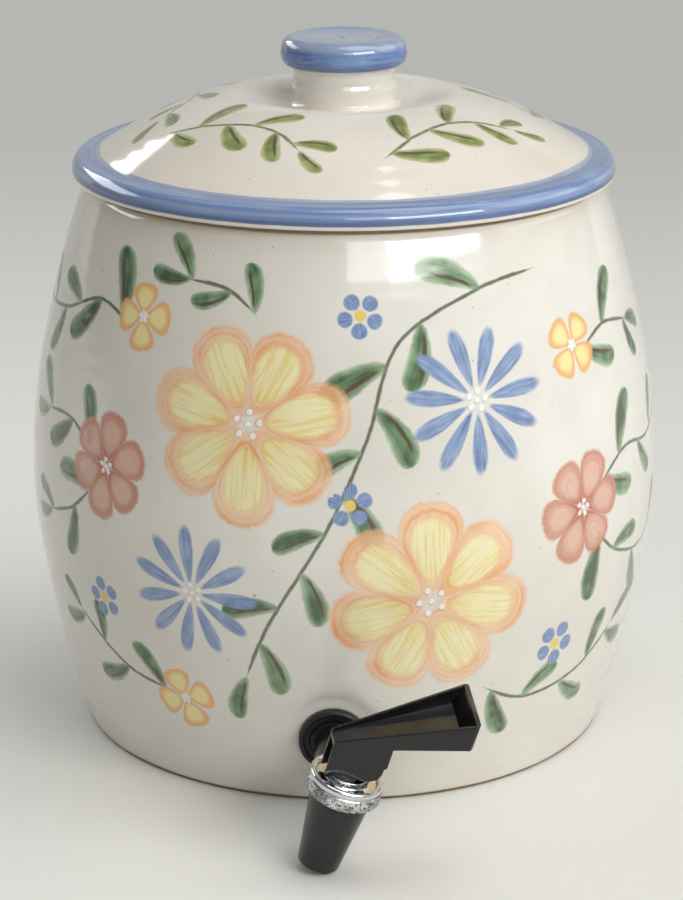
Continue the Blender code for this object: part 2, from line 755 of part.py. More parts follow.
def lever_outline():
    """The lever seen from its side: heel, foot, front corner, underside of the arm, tip and top edge."""
    slope = HUB_FOOT_SLOPE
    corner_x = HUB_FRONT - HUB_CORNER
    corner_z = (corner_x + HUB_HEEL) * math.tan(slope) - CAM_DEPTH + HUB_CORNER / math.cos(slope)
    root = HUB_FRONT + HUB_STEP
    tip_foot = arm_top(ARM_REACH) - ARM_TIP_DEPTH
    return [
        (-HUB_BACK, -CAM_DEPTH - HUB_HEEL_DROP),
        (-HUB_HEEL, -CAM_DEPTH),
        *arc((corner_x, corner_z), HUB_CORNER, math.degrees(slope) - 90, 0, steps=5),
        (HUB_FRONT, HUB_STEP_HEIGHT),
        (root, HUB_STEP_HEIGHT + HUB_STEP),
        (root, arm_top(root) - ARM_ROOT_DEPTH),
        *arc((ARM_REACH - ARM_TIP_ROUND, tip_foot + ARM_TIP_ROUND), ARM_TIP_ROUND, -90, 0),
        (ARM_REACH, arm_top(ARM_REACH)),
        (-HUB_BACK, arm_top(-HUB_BACK)),
    ]


def tray_floor(x):
    """The top of the tray's floor, level with the walls at the hub's end and deepest at the tip."""
    share = (x + HUB_BACK) / (HUB_BACK + ARM_REACH)
    return arm_top(x) - LEVER_WALL / 2 - (TRAY_DEPTH - LEVER_WALL / 2) * share


def cut_tray(lever, frame):
    """The open tray for the thumb, with a slanted wall at the tip."""
    end = ARM_REACH - LEVER_WALL
    outline = [
        (-HUB_BACK - OVERRUN, arm_top(-HUB_BACK) + TRAY_DEPTH),
        (-HUB_BACK - OVERRUN, tray_floor(-HUB_BACK - OVERRUN)),
        (end - TRAY_END_SLANT, tray_floor(end - TRAY_END_SLANT)),
        (end, arm_top(end)),
        (end, arm_top(end) + TRAY_DEPTH),
    ]
    join(lever, flared("tray_cutter", outline, inner_half_width, frame), "DIFFERENCE")


def cut_hub(lever, frame):
    """The channel that the stem's head stands in, open at the back and below."""
    face = STEM_RADIUS + STEM_SIDE_GAP
    low = -CAM_DEPTH - HUB_HEEL_DROP - OVERRUN
    outline = [
        (-HUB_BACK - OVERRUN, low),
        (face, low),
        (face, tray_floor(face) - TRAY_FLOOR),
        (-HUB_BACK - OVERRUN, tray_floor(-HUB_BACK - OVERRUN) - TRAY_FLOOR),
    ]
    join(lever, flared("hub_cutter", outline, inner_half_width, frame), "DIFFERENCE")


def add_cam(lever, frame):
    """Two cam ribs inside the side walls, parted by a slot that the stem swings in as the arm goes down."""
    face = STEM_RADIUS + STEM_SIDE_GAP
    cam = cam_line()
    ribs = [(face, -CAM_DEPTH), *cam, (cam[-1][0], 0), (face, 0)]
    join(lever, flared("cam_ribs", ribs, lambda x: CAM_HALF_WIDTH, frame), "UNION")
    low = -CAM_DEPTH - OVERRUN
    front = (face - low * math.sin(LEVER_STROKE)) / math.cos(LEVER_STROKE)
    top = face * math.tan(LEVER_STROKE / 2)
    swing = [(face - OVERRUN, low), (front, low), (face, top), (face - OVERRUN, top)]
    join(lever, flared("stem_slot", swing, lambda x: face, frame), "DIFFERENCE")


def core_arm(lever, frame):
    """The shallow hollow under the arm, which keeps the tray's floor as thin as its walls."""
    start = HUB_FRONT + HUB_STEP + LEVER_WALL
    end = ARM_REACH - LEVER_WALL
    outline = [
        (start, arm_top(start) - ARM_TIP_DEPTH),
        (end, arm_top(end) - ARM_TIP_DEPTH - OVERRUN),
        (end, tray_floor(end) - TRAY_FLOOR),
        (start, tray_floor(start) - TRAY_FLOOR),
    ]
    join(lever, flared("arm_cutter", outline, inner_half_width, frame), "DIFFERENCE")


def add_pin_bosses(lever, frame):
    """A boss inside each side wall, with a blind socket for the pin."""
    stem_side = STEM_RADIUS + GAP
    socket = half_width(0) - PIN_SKIN
    for side, name in ((1, "right"), (-1, "left")):
        near, far = sorted((side * stem_side, side * (half_width(0) - LEVER_WALL / 2)))
        boss = cylinder(f"boss_{name}", PIN_BOSS_RADIUS, near, far, frame, "Y", sides=SMALL_SIDES)
        join(lever, boss, "UNION")
    hole = cylinder("socket_cutter", PIN_RADIUS + GAP, -socket, socket, frame, "Y", sides=SMALL_SIDES)
    join(lever, hole, "DIFFERENCE")


def make_lever(frame):
    """The moulded lever: a U-shaped hub with its cam, and a flared arm with an open tray."""
    lever = flared("lever", lever_outline(), half_width, frame)
    edge = lever.modifiers.new("edges", "BEVEL")
    edge.width = LEVER_EDGE / 2
    edge.segments = 1
    edge.limit_method = "ANGLE"
    edge.angle_limit = math.radians(60)
    cut_tray(lever, frame)
    cut_hub(lever, frame)
    add_cam(lever, frame)
    core_arm(lever, frame)
    add_pin_bosses(lever, frame)
    paint(lever, (0.022, 0.022, 0.024), 0.22)
    return lever


def make_lever_pin(frame):
    """The steel cross pin, caught between the two blind sockets."""
    end = half_width(0) - PIN_SKIN - GAP
    pin = cylinder("lever_pin", PIN_RADIUS, -end, end, frame, "Y", sides=SMALL_SIDES)
    paint(pin, (0.6, 0.61, 0.62), 0.25, 1.0)
    return pin


def main():
    for old in list(bpy.data.objects):
        bpy.data.objects.remove(old, do_unlink=True)
    tap = make_tap_frame()
    make_crock(tap)
    make_lid()
    make_body(tap)
    make_outer_washer(tap)
    make_inner_washer(tap)
    make_lock_nut(tap)
    make_bonnet(tap)
    make_seat_cup(tap)
    make_stem(tap)
    make_spring(tap)
    make_spring_washer(tap)
    frame = make_lever_frame(tap)
    make_lever(frame)
    make_lever_pin(frame)
    bpy.context.view_layer.update()


main()
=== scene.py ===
# %% [markdown]
# This lesson dresses a drink crock: a thrown stoneware pot with a loose domed lid and a lever tap.
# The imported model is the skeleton. It says how big each piece is and what moves with what, and
# nothing of it is moved here. Each piece that shows gets a finer mesh or a better finish instead.

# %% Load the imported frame
import json
import math

import bmesh
import bpy
import numpy as np
from mathutils import Matrix, Vector


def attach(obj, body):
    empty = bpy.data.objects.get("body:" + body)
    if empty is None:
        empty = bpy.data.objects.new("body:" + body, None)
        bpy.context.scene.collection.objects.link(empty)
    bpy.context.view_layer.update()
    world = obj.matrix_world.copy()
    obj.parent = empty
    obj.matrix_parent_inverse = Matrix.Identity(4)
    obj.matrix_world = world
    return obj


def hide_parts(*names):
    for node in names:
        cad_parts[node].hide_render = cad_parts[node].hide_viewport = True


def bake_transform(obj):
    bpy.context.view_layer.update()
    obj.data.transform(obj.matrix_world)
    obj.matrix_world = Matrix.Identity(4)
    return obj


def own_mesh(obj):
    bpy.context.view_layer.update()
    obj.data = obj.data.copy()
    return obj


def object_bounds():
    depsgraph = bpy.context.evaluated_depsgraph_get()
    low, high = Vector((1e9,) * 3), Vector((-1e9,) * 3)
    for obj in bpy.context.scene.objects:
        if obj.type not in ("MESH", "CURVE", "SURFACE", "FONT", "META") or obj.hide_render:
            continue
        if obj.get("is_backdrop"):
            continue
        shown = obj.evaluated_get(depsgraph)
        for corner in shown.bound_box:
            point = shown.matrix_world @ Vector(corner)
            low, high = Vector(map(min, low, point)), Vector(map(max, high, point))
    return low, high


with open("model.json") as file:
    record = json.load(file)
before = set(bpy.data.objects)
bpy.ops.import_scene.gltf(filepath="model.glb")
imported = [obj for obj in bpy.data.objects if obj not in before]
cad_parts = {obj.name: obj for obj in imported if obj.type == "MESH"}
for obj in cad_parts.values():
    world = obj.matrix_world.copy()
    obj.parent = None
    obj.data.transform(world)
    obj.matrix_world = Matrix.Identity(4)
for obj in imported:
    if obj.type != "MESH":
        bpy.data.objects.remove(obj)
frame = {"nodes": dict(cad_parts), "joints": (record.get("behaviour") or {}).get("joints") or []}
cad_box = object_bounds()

MM = 0.001
scene = bpy.context.scene
print("nodes:", ", ".join(sorted(frame["nodes"])))

# %% [markdown]
# The camera looks down on the crock by about 18 degrees from a little over a metre away. Those
# numbers came from fitting the crock's foot and belly and the lid's rim to the picture, because
# ellipses tell the tilt of a camera and the way they narrow with height tells its distance.

# %% Place the camera
lens = bpy.data.cameras.new("camera")
lens.lens = 112.74
lens.sensor_width = 36.0
camera = bpy.data.objects.new("camera", lens)
camera.location = (-0.001, -1.209, 0.5096)
camera.rotation_euler = (math.radians(90 - 17.95), 0, 0)
scene.collection.objects.link(camera)
scene.camera = camera
scene.view_settings.view_transform = "Standard"
print("camera", round(camera.location.length, 3), "m from the crock's foot")

# %% [markdown]
# Shader formulas are long to build node by node. This small class stands for one value on its way
# through a node tree, so that a formula reads as plain arithmetic: every plus or minus adds one
# Math node and gives back its output.

# %% Write node formulas as arithmetic


class Wire:
    """One value in a node tree."""

    def __init__(self, tree, socket):
        self.tree, self.socket = tree, socket

    def do(self, operation, *others):
        node = add_node(self.tree, "Math", self, *others)
        node.operation = operation
        return Wire(self.tree, node.outputs[0])

    def __add__(self, other):
        return self.do("ADD", other)

    def __sub__(self, other):
        return self.do("SUBTRACT", other)

    def __rsub__(self, other):
        return self.do("MULTIPLY_ADD", -1.0, other)

    def __mul__(self, other):
        return self.do("MULTIPLY", other)

    def __truediv__(self, other):
        return self.do("DIVIDE", other)

    __radd__, __rmul__ = __add__, __mul__

    def capped(self, top=1.0):
        """No more than the top."""
        return self.do("MINIMUM", top)

    def within_one(self):
        """No less than 0 and no more than 1."""
        return self.do("MAXIMUM", 0.0).capped()

    def offset(self):
        """The value without its sign."""
        return self.do("ABSOLUTE")

    def rise(self, low, high, start=0.0, end=1.0):
        """Goes softly from start to end as the value goes from low to high."""
        node = add_node(self.tree, "MapRange", self, low, high, start, end)
        node.interpolation_type = "SMOOTHSTEP"
        return Wire(self.tree, node.outputs[0])


def feed(tree, value, slot):
    """Links a wire to a socket, or types a plain value into it."""
    if isinstance(value, Wire):
        tree.links.new(value.socket, slot)
    else:
        slot.default_value = value


def add_node(tree, kind, *values, **named):
    """A new shader node with its inputs fed, in order or by name."""
    node = tree.nodes.new("ShaderNode" + kind)
    slots = [*node.inputs[: len(values)], *(node.inputs[name] for name in named)]
    for slot, value in zip(slots, (*values, *named.values())):
        feed(tree, value, slot)
    return node


print("a formula is built from", Wire.__name__, "values")

# %% [markdown]
# A few nodes are needed again and again: to take a vector apart, to make soft noise or scattered
# spots, and to mix two colours. Each gets a short name that says what it does to a value.

# %% Name the common nodes


def parts(vector):
    """The three parts of a vector."""
    return [Wire(vector.tree, out) for out in add_node(vector.tree, "SeparateXYZ", vector).outputs]


def vector_of(tree, x, y, z):
    """A vector of three parts."""
    return Wire(tree, add_node(tree, "CombineXYZ", x, y, z).outputs[0])


def cloud(vector, scale, detail=2.0, roughness=0.5):
    """Soft noise from 0 to 1 at a vector."""
    node = add_node(vector.tree, "TexNoise", Vector=vector, Scale=scale, Detail=detail, Roughness=roughness)
    return Wire(vector.tree, node.outputs[0])


def spots(vector, scale):
    """Distance to the nearest of many scattered points, and a random number for each point."""
    node = add_node(vector.tree, "TexVoronoi", Vector=vector, Scale=scale)
    split = add_node(vector.tree, "SeparateColor", Wire(vector.tree, node.outputs["Color"]))
    return Wire(vector.tree, node.outputs["Distance"]), Wire(vector.tree, split.outputs[0])


def blend_color(share, first, second):
    """First colour where share is 0, second where it is 1."""
    node = share.tree.nodes.new("ShaderNodeMix")
    node.data_type = "RGBA"
    for slot, value in zip((node.inputs[0], node.inputs[6], node.inputs[7]), (share, first, second)):
        feed(share.tree, value, slot)
    return Wire(share.tree, node.outputs[2])


def tint(red, green, blue):
    """A colour as a paint program shows it, 0 to 255, turned into the linear light a shader wants."""
    def linear(value):
        value /= 255
        return value / 12.92 if value <= 0.04045 else ((value + 0.055) / 1.055) ** 2.4
    return (linear(red), linear(green), linear(blue), 1.0)


def distance_of(x, y):
    """How far a point lies from the origin of its two coordinates."""
    return (x * x + y * y).do("SQRT")


print("middle grey is", round(tint(128, 128, 128)[0], 3), "in linear light")

# %% [markdown]
# A formula that several finishes share goes into a node group with named sockets, so that a change to
# it reaches them all. A finish is then a colour, a roughness and a height, fed to one Principled
# shader, and it is drawn in the piece's own space so that it moves with the piece.

# %% Make groups and materials


def new_group(title, inputs, *outputs):
    """An empty node group with named sockets; gives its wires in, and a call that closes it."""
    group = bpy.data.node_groups.new(title, "ShaderNodeTree")
    for name, value in inputs.items():
        kind = "Float" if isinstance(value, float) else "Vector" if len(value) == 3 else "Color"
        socket = group.interface.new_socket(name, in_out="INPUT", socket_type="NodeSocket" + kind)
        socket.default_value = value
    for name in outputs:
        kind = "Color" if name == "Color" else "Float"
        group.interface.new_socket(name, in_out="OUTPUT", socket_type="NodeSocket" + kind)
    start = group.nodes.new("NodeGroupInput")
    end = group.nodes.new("NodeGroupOutput")

    def close(*values):
        for slot, value in zip(end.inputs, values):
            feed(group, value, slot)
        print("group", title, "has", len(group.nodes), "nodes")
        return group

    return [Wire(group, out) for out in start.outputs][: len(inputs)], close


def use_group(tree, group, *values):
    """Places a group in a tree, feeds its inputs in order, and gives its outputs."""
    node = tree.nodes.new("ShaderNodeGroup")
    node.node_tree = group
    for slot, value in zip(node.inputs, values):
        feed(tree, value, slot)
    return [Wire(tree, out) for out in node.outputs]


def new_material(title, roughness, metallic=0.0):
    """A material with its Principled shader, and the tree that the formulas go into."""
    material = bpy.data.materials.new(title)
    material.use_nodes = True
    shader = material.node_tree.nodes["Principled BSDF"]
    shader.inputs["Roughness"].default_value = roughness
    shader.inputs["Metallic"].default_value = metallic
    return material, material.node_tree, shader


def own_space(tree):
    """The place on the piece in its own space."""
    node = tree.nodes.new("ShaderNodeTexCoord")
    return Wire(tree, node.outputs["Object"])


def painted(tree, name, output="Vector"):
    """The stroke coordinates, or the number, that are stored on the mesh under a name."""
    node = tree.nodes.new("ShaderNodeAttribute")
    node.attribute_name = name
    return Wire(tree, node.outputs[output])


def feed_finish(tree, shader, color, roughness, height, distance):
    """Feeds the shader its colour, its roughness and a bump from a height."""
    feed(tree, color, shader.inputs["Base Color"])
    feed(tree, roughness, shader.inputs["Roughness"])
    bump = add_node(tree, "Bump", Strength=1.0, Distance=distance, Height=height)
    tree.links.new(bump.outputs["Normal"], shader.inputs["Normal"])


def join_shaders(tree, share, first, second, surface):
    """Shows the first shader where the share is 0 and the second where it is 1."""
    mix = add_node(tree, "MixShader", share)
    tree.links.new(first.outputs[0], mix.inputs[1])
    tree.links.new(second.outputs[0], mix.inputs[2])
    tree.links.new(mix.outputs[0], surface)


def dress(mesh, material):
    """Gives a mesh this one material."""
    mesh.materials.clear()
    mesh.materials.append(material)
    print(mesh.name, "wears", material.name, "with", len(material.node_tree.nodes), "nodes")


# %% [markdown]
# The pot stands on a pale sweep of paper: one big sheet that curves up into a wall far behind it.
# Its colour is painted darker that way, as painted shade for the light that falls off with distance,
# which gives the grey at the top of the picture. What the camera and the glaze see of it further off
# glows a little by itself, so no extra lamp is needed to keep it even, and the pale paper mirrors in
# the pot's sides and in its rim as it does in a studio.

# %% Lay the floor
PAPER_SIZE, PAPER_SHIFT, PAPER_DROP = 12, 1.5, 0.3 * MM
PAPER_NEAR, PAPER_FAR_SHADE = tint(226, 225, 219), tint(182, 183, 178)
curve_start, curve_radius = 2.0, 1.5
bpy.ops.mesh.primitive_grid_add(
    x_subdivisions=8, y_subdivisions=60, size=PAPER_SIZE, location=(0, PAPER_SHIFT, -PAPER_DROP)
)
floor = bpy.context.object
floor.name = "floor"
for corner in floor.data.vertices:
    past = corner.co.y - curve_start
    if past > 0:
        turn = min(past / curve_radius, math.pi / 2)
        straight = past - turn * curve_radius
        corner.co.y = curve_start + curve_radius * math.sin(turn)
        corner.co.z = curve_radius * (1 - math.cos(turn)) + straight
floor.data.shade_smooth()
floor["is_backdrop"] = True
paper, tree, shader = new_material("floor_paper", 0.6)
shader.inputs["Specular IOR Level"].default_value = 0.2
across, along, _ = parts(own_space(tree))
ahead = along + PAPER_SHIFT
away = distance_of(across, ahead)
# Painted shade: the paper's colour darkens behind the pot and fades back towards its far sides.
painted_far_shade = ahead.rise(-0.1, 1.4) * across.offset().rise(5.5, 2.5)
shade = blend_color(painted_far_shade, PAPER_NEAR, PAPER_FAR_SHADE)
feed(tree, shade, shader.inputs["Base Color"])
glow = add_node(tree, "Emission", Color=shade)
seen = tree.nodes.new("ShaderNodeLightPath")
seen_straight = Wire(tree, seen.outputs["Is Camera Ray"])
looked_at = seen_straight.do("MAXIMUM", Wire(tree, seen.outputs["Is Glossy Ray"]))
glow_behind = ahead.rise(-0.15, 0.4) * looked_at
glow_around = away.rise(0.6, 1.5) * seen_straight
surface = tree.nodes["Material Output"].inputs["Surface"]
join_shaders(tree, glow_behind.do("MAXIMUM", glow_around), shader, glow, surface)
dress(floor.data, paper)
print("floor", round(floor.dimensions.x, 1), "m across")

# %% [markdown]
# Glazed ware is judged by its reflections, so the lamps are large soft boxes placed where the bright
# shapes on the glaze point. A shape on the right shoulder means a box ahead and to the right, with a
# weaker one beside it. The patch on the lid's left and the gleam under the rim there mean a wide box
# behind and to the left. A weak panel on the right and one overhead lift the right side and the lid,
# and the world fills in the rest. Past the paper's edge the camera sees the world in the paper's colour.

# %% Hang the lamps


def soft_box(title, bearing, climb, distance, width, height, power, aim=(0, 0, 0.15)):
    """A soft box seen from the crock at a bearing (0 ahead, positive right) and a climb in degrees."""
    lamp = bpy.data.lights.new(title, "AREA")
    lamp.shape, lamp.size, lamp.size_y = "RECTANGLE", width, height
    lamp.energy = power
    placed = bpy.data.objects.new(title, lamp)
    side, up = math.radians(bearing), math.radians(climb)
    away = Vector((math.sin(side) * math.cos(up), -math.cos(side) * math.cos(up), math.sin(up)))
    placed.location = Vector(aim) + distance * away
    placed.rotation_euler = away.to_track_quat("Z", "Y").to_euler()
    placed.visible_camera = False
    scene.collection.objects.link(placed)
    print(title, "at", [round(x, 2) for x in placed.location])


soft_box("front_right_box", 39, 28, 1.7, 1.14, 0.4, 14.4)
soft_box("front_fill_box", 11, 28, 1.7, 0.54, 0.4, 2.6)
soft_box("left_back_box", -127, 24, 1.9, 1.66, 0.52, 11, aim=(0, 0, 0.25))
soft_box("right_panel", 95, 36, 1.9, 1.4, 1.2, 8.2)
soft_box("overhead_box", 60, 72, 1.6, 1.1, 1.1, 10)
world = bpy.data.worlds.new("studio")
scene.world = world
world.use_nodes = True
tree = world.node_tree
light = tree.nodes["Background"]
light.inputs["Color"].default_value = (1.0, 1.0, 1.0, 1.0)
light.inputs["Strength"].default_value = 0.17
backdrop = add_node(tree, "Background", Color=PAPER_NEAR)
seen_straight = Wire(tree, tree.nodes.new("ShaderNodeLightPath").outputs["Is Camera Ray"])
join_shaders(tree, seen_straight, light, backdrop, tree.nodes["World Output"].inputs["Surface"])

# %% [markdown]
# Thrown pots and lids are turned shapes. Instead of a Screw modifier, the mesh is made as a grid of
# rows and columns in numpy, because the same grid then takes the ripples of the potter's fingers, the
# pad pressed flat for the tap, and the paint, which is stored on the corners of its faces.

# %% Draw lines
TOO_CLOSE = 0.001 * MM


def flowing_line(points, steps):
    """A smooth curve through points of two or three numbers."""
    p = np.array([points[0], *points, points[-1]], float)
    t = np.linspace(0, 1, steps, endpoint=False)[:, None]
    pieces = [
        0.5 * (2 * b + (c - a) * t + (2 * a - 5 * b + 4 * c - d) * t**2 + (3 * b - a - 3 * c + d) * t**3)
        for a, b, c, d in zip(p, p[1:], p[2:], p[3:])
    ]
    return np.vstack([*pieces, p[-1:]])


def even_line(line, spacing):
    """The same line with its points evenly spaced."""
    line = np.asarray(line, float)
    walked = np.concatenate([[0], np.cumsum(np.linalg.norm(np.diff(line, axis=0), axis=1))])
    marks = np.linspace(0, walked[-1], max(2, round(walked[-1] / spacing) + 1))
    return np.column_stack([np.interp(marks, walked, axis) for axis in line.T])


def bow(centre, radius, start, end, steps=6):
    """Points of an arc, angles in degrees."""
    angles = np.radians(np.linspace(start, end, steps + 1))
    return np.column_stack([centre[0] + radius * np.cos(angles), centre[1] + radius * np.sin(angles)])


def curling_line(start, *stretches):
    """A line told by how it turns: each stretch has a length in millimetres and the tilt at both ends.

    At 0 degrees the surface stands upright, at 90 it lies flat and faces up, below 0 it faces down.
    """
    points = [np.array([start])]
    for length, first, last in stretches:
        steps = max(2, round(length / 0.5))
        tilts = np.radians(first + (last - first) * (np.arange(steps) + 0.5) / steps)
        moves = np.column_stack([-np.sin(tilts), np.cos(tilts)]) * length * MM / steps
        points.append(points[-1][-1] + np.cumsum(moves, axis=0))
    return np.vstack(points)


def one_line(*pieces, unit=1.0):
    """Joins stretches end to end, scales them and drops points that fall on each other."""
    line = np.vstack(pieces) * unit
    step = np.linalg.norm(np.diff(line, axis=0), axis=1)
    return line[np.concatenate([[True], step > TOO_CLOSE])]


print("a quarter bow of radius 1 ends at", bow((0, 0), 1, 0, 90)[-1].round(3))

# %% Turn a line round an axis


def polar(grid):
    """The height, the distance from the axis and the angle round it of each point of a grid."""
    x, y, z = np.moveaxis(grid, -1, 0)
    return z, np.hypot(x, y), np.arctan2(y, x)


def turned_piece(title, line, columns, shape=None):
    """A turned mesh from a line of (radius, height), whose rows a shape function may still move."""
    rows = line[line[:, 0] > TOO_CLOSE]
    angles = np.arange(columns) * math.tau / columns
    grid = np.stack([
        rows[:, :1] * np.cos(angles),
        rows[:, :1] * np.sin(angles),
        np.repeat(rows[:, 1:], columns, axis=1),
    ], axis=-1)
    if shape:
        grid = shape(grid)
    row, column = np.divmod(np.arange((len(rows) - 1) * columns), columns)
    ahead = (column + 1) % columns
    low, high = row * columns, (row + 1) * columns
    quads = np.column_stack([low + column, low + ahead, high + ahead, high + column])
    points = list(map(tuple, grid.reshape(-1, 3)))
    caps = []
    sides = [(i, (i + 1) % columns) for i in range(columns)]
    last = (len(rows) - 1) * columns
    from_axis, to_axis = line[0, 0] <= TOO_CLOSE, line[-1, 0] <= TOO_CLOSE
    if from_axis:
        caps += [(len(points), b, a) for a, b in sides]
        points.append((0.0, 0.0, line[0, 1]))
    if to_axis:
        caps += [(len(points), last + a, last + b) for a, b in sides]
        points.append((0.0, 0.0, line[-1, 1]))
    if not from_axis and not to_axis:
        caps += [(last + a, last + b, b, a) for a, b in sides]
    mesh = bpy.data.meshes.new(title)
    mesh.from_pydata(points, [], [tuple(q) for q in quads.tolist()] + caps)
    mesh.shade_smooth()
    made = bpy.data.objects.new(title, mesh)
    scene.collection.objects.link(made)
    print(title, "has", len(mesh.polygons), "faces")
    return made, grid, quads


def uneven(angle, height, size, seed):
    """The slow unevenness of a hand-thrown wall: sines that close on themselves round the pot."""
    dice = np.random.default_rng(seed)
    total = 0.0
    for turns, waves in ((1, 9), (2, 17), (3, 31), (5, 47)):
        first, second = dice.uniform(0, math.tau, 2)
        total = total + np.sin(turns * angle + first) * np.sin(waves * height + second) / 4
    return size * total


print("unevenness at one place", round(float(uneven(1.0, 0.1, 1.0, 5)), 3))

# %% [markdown]
# The crock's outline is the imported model's own, written again as the same ten shares of its belly and
# its height, because this script can't read the part's source. A smooth curve goes through them.

# %% Outline of the crock
CROCK_HEIGHT = 246.9 * MM
BELLY_RADIUS = 139.3 * MM
WALL = 8.0 * MM
FLOOR = 9.0 * MM
CORNER = 12.0 * MM
LIP = 2.0 * MM
FOOT_CHAMFER = 0.8 * MM
OUTLINE_SHARES = (
    (0.0, 0.843), (0.07, 0.880), (0.162, 0.922), (0.284, 0.967), (0.41, 0.9965),
    (0.52, 0.9975), (0.648, 0.973), (0.77, 0.928), (0.891, 0.871), (1.0, 0.808),
)
wall_line = flowing_line([(r * BELLY_RADIUS, h * CROCK_HEIGHT) for h, r in OUTLINE_SHARES], 24)


def crock_radius(height):
    """Outside radius at a height, or at many heights."""
    return np.interp(height, wall_line[:, 1], wall_line[:, 0])


mouth = float(crock_radius(CROCK_HEIGHT)) - WALL
print("mouth", round(2 * mouth / MM, 1), "mm across")

# %% [markdown]
# The tap leans: its shank drops by 8 degrees towards the spout and the whole tap is rolled by 16
# degrees on that shank. One matrix holds that lean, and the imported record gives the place, so that
# every tap piece below can be drawn upright round its own axis and then put where it belongs.

# %% Find the tap
joints = {joint["name"]: joint for joint in frame["joints"]}
tap_place = Vector(joints["lever_swivel"]["pos_m"])
tap_turn = Matrix.Rotation(math.radians(8), 4, "X") @ Matrix.Rotation(math.radians(16), 4, "Y")
tap_frame = Matrix.Translation(tap_place) @ tap_turn
shank_way = np.array(tap_turn.to_3x3() @ Vector((0, 1, 0)))
spout_way = Vector(joints["lever_swivel"]["axis"]).normalized()
PAD_REACH = 60.2 * MM
PAD_RADIUS = 18.0 * MM
PAD_WALL = 5.0 * MM
PAD_SLOPE = math.tan(math.radians(30))
PAD_SOFTNESS = 1.6 * MM
PRESSED_ZONE = 45 * MM
print("spout axis leans", round(math.degrees(spout_way.angle((0, 0, 1))), 1), "degrees")

# %% [markdown]
# Fingers leave faint rings on a thrown wall, and the two halves of a tall pot meet in a low line
# round the belly. Both go into the mesh as real shape, a tenth of a millimetre or two deep, because
# that is what makes the long gleams on the glaze waver. They only go inwards, so the size stays.
# The potter then presses a flat pad for the tap, which runs out into the wall with soft edges.

# %% Shape the wall


def soft_most(a, b, width):
    """The larger of two values, rounded where they meet."""
    return 0.5 * (a + b + np.sqrt((a - b) ** 2 + width**2))


def finger_rings(angle, height):
    """How far the wall lies inside its even outline."""
    wander = uneven(angle, height, 1.2, 3)
    rings = 0.5 + 0.5 * np.sin(math.tau * height / (8.5 * MM) + wander)
    strength = 0.55 + 0.45 * np.sin(height * 38 + 1.0)
    slow = 0.5 + 0.5 * uneven(angle, height, 1.0, 5)
    seam = np.exp(-((height - 115 * MM - 0.8 * MM * np.sin(angle + 2)) / (1.1 * MM)) ** 2)
    return (0.10 * rings * strength + 0.25 * slow + 0.16 * seam) * MM


def throw_crock(grid):
    """Adds the rings, the pad outside and the flat inside to the turned grid."""
    z, radius, angle = polar(grid)
    outside = np.arange(len(grid))[:, None] < outside_rows
    sunk = np.where(outside & (z > 3 * MM), finger_rings(angle, z), 0.0)
    grid = grid * np.stack([1 - sunk / radius, 1 - sunk / radius, np.ones_like(z)], axis=-1)
    away = grid - np.array(tap_place)
    depth = away @ shank_way
    off = np.linalg.norm(away - depth[..., None] * shank_way, axis=-1)
    past_pad = np.maximum(0, off - PAD_RADIUS)
    front = (off < PRESSED_ZONE) & (depth > 0) & (depth < 120 * MM) & (z > 0.5 * MM)
    pressed = soft_most(depth, PAD_REACH - past_pad * PAD_SLOPE, PAD_SOFTNESS) - depth
    hollowed = np.minimum(depth, PAD_REACH + PAD_WALL + past_pad * 2) - depth
    push = np.where(front & outside, pressed, np.where(front, hollowed, 0.0))
    return grid + push[..., None] * shank_way


ring_depths = finger_rings(0.0, np.linspace(0, CROCK_HEIGHT, 500)) / MM
print("the rings are up to", round(float(ring_depths.max()), 2), "mm deep")

# %% Throw the crock
lip_top = CROCK_HEIGHT
foot = float(crock_radius(0))
shoulder_foot = lip_top - 5.9 * MM
shoulder_pull = 28.5


def shoulder_in(height):
    """How far the last few millimetres under the lip curl in from the even outline."""
    return shoulder_pull * np.maximum(0, height - shoulder_foot) ** 2


outer = wall_line[(wall_line[:, 1] > FOOT_CHAMFER) & (wall_line[:, 1] < lip_top - LIP)]
outer = np.vstack([(foot, FOOT_CHAMFER), outer, (crock_radius(lip_top), lip_top - LIP)])
outer = even_line(outer, 1.0 * MM)
outer[:, 0] -= shoulder_in(outer[:, 1])
corner_top = FLOOR + CORNER
side = float(crock_radius(corner_top)) - WALL
inner = wall_line[(wall_line[:, 1] > corner_top) & (wall_line[:, 1] < lip_top - LIP)][::-1] - (WALL, 0)
outside_part = one_line(
    [(0, 0), (40 * MM, 0), (80 * MM, 0), (foot - 6 * MM, 0)],
    bow((foot - FOOT_CHAMFER, FOOT_CHAMFER), FOOT_CHAMFER, -90, 0, 3),
    even_line(outer, 2.0 * MM),
    bow((outer[-1, 0] - LIP, lip_top - LIP), LIP, 0, 90, 5),
)
inside_part = one_line(
    bow((mouth + LIP, lip_top - LIP), LIP, 90, 180, 5),
    even_line(inner, 7.0 * MM),
    bow((side - CORNER, corner_top), CORNER, 0, -90, 5),
    [(60 * MM, FLOOR), (20 * MM, FLOOR), (0, FLOOR)],
)
outside_rows = len(outside_part) - 1
crock, crock_grid, crock_quads = turned_piece(
    "thrown_crock", one_line(outside_part, inside_part), 400, throw_crock
)

# %% [markdown]
# The lid is thrown upside down and turned thin: a flat rim, a dome, a neck and a disc knob in one
# piece. Its line runs from the middle of the underside, round the flange and the rim, over the dome
# to the middle of the knob, where a finger left a shallow spiral.

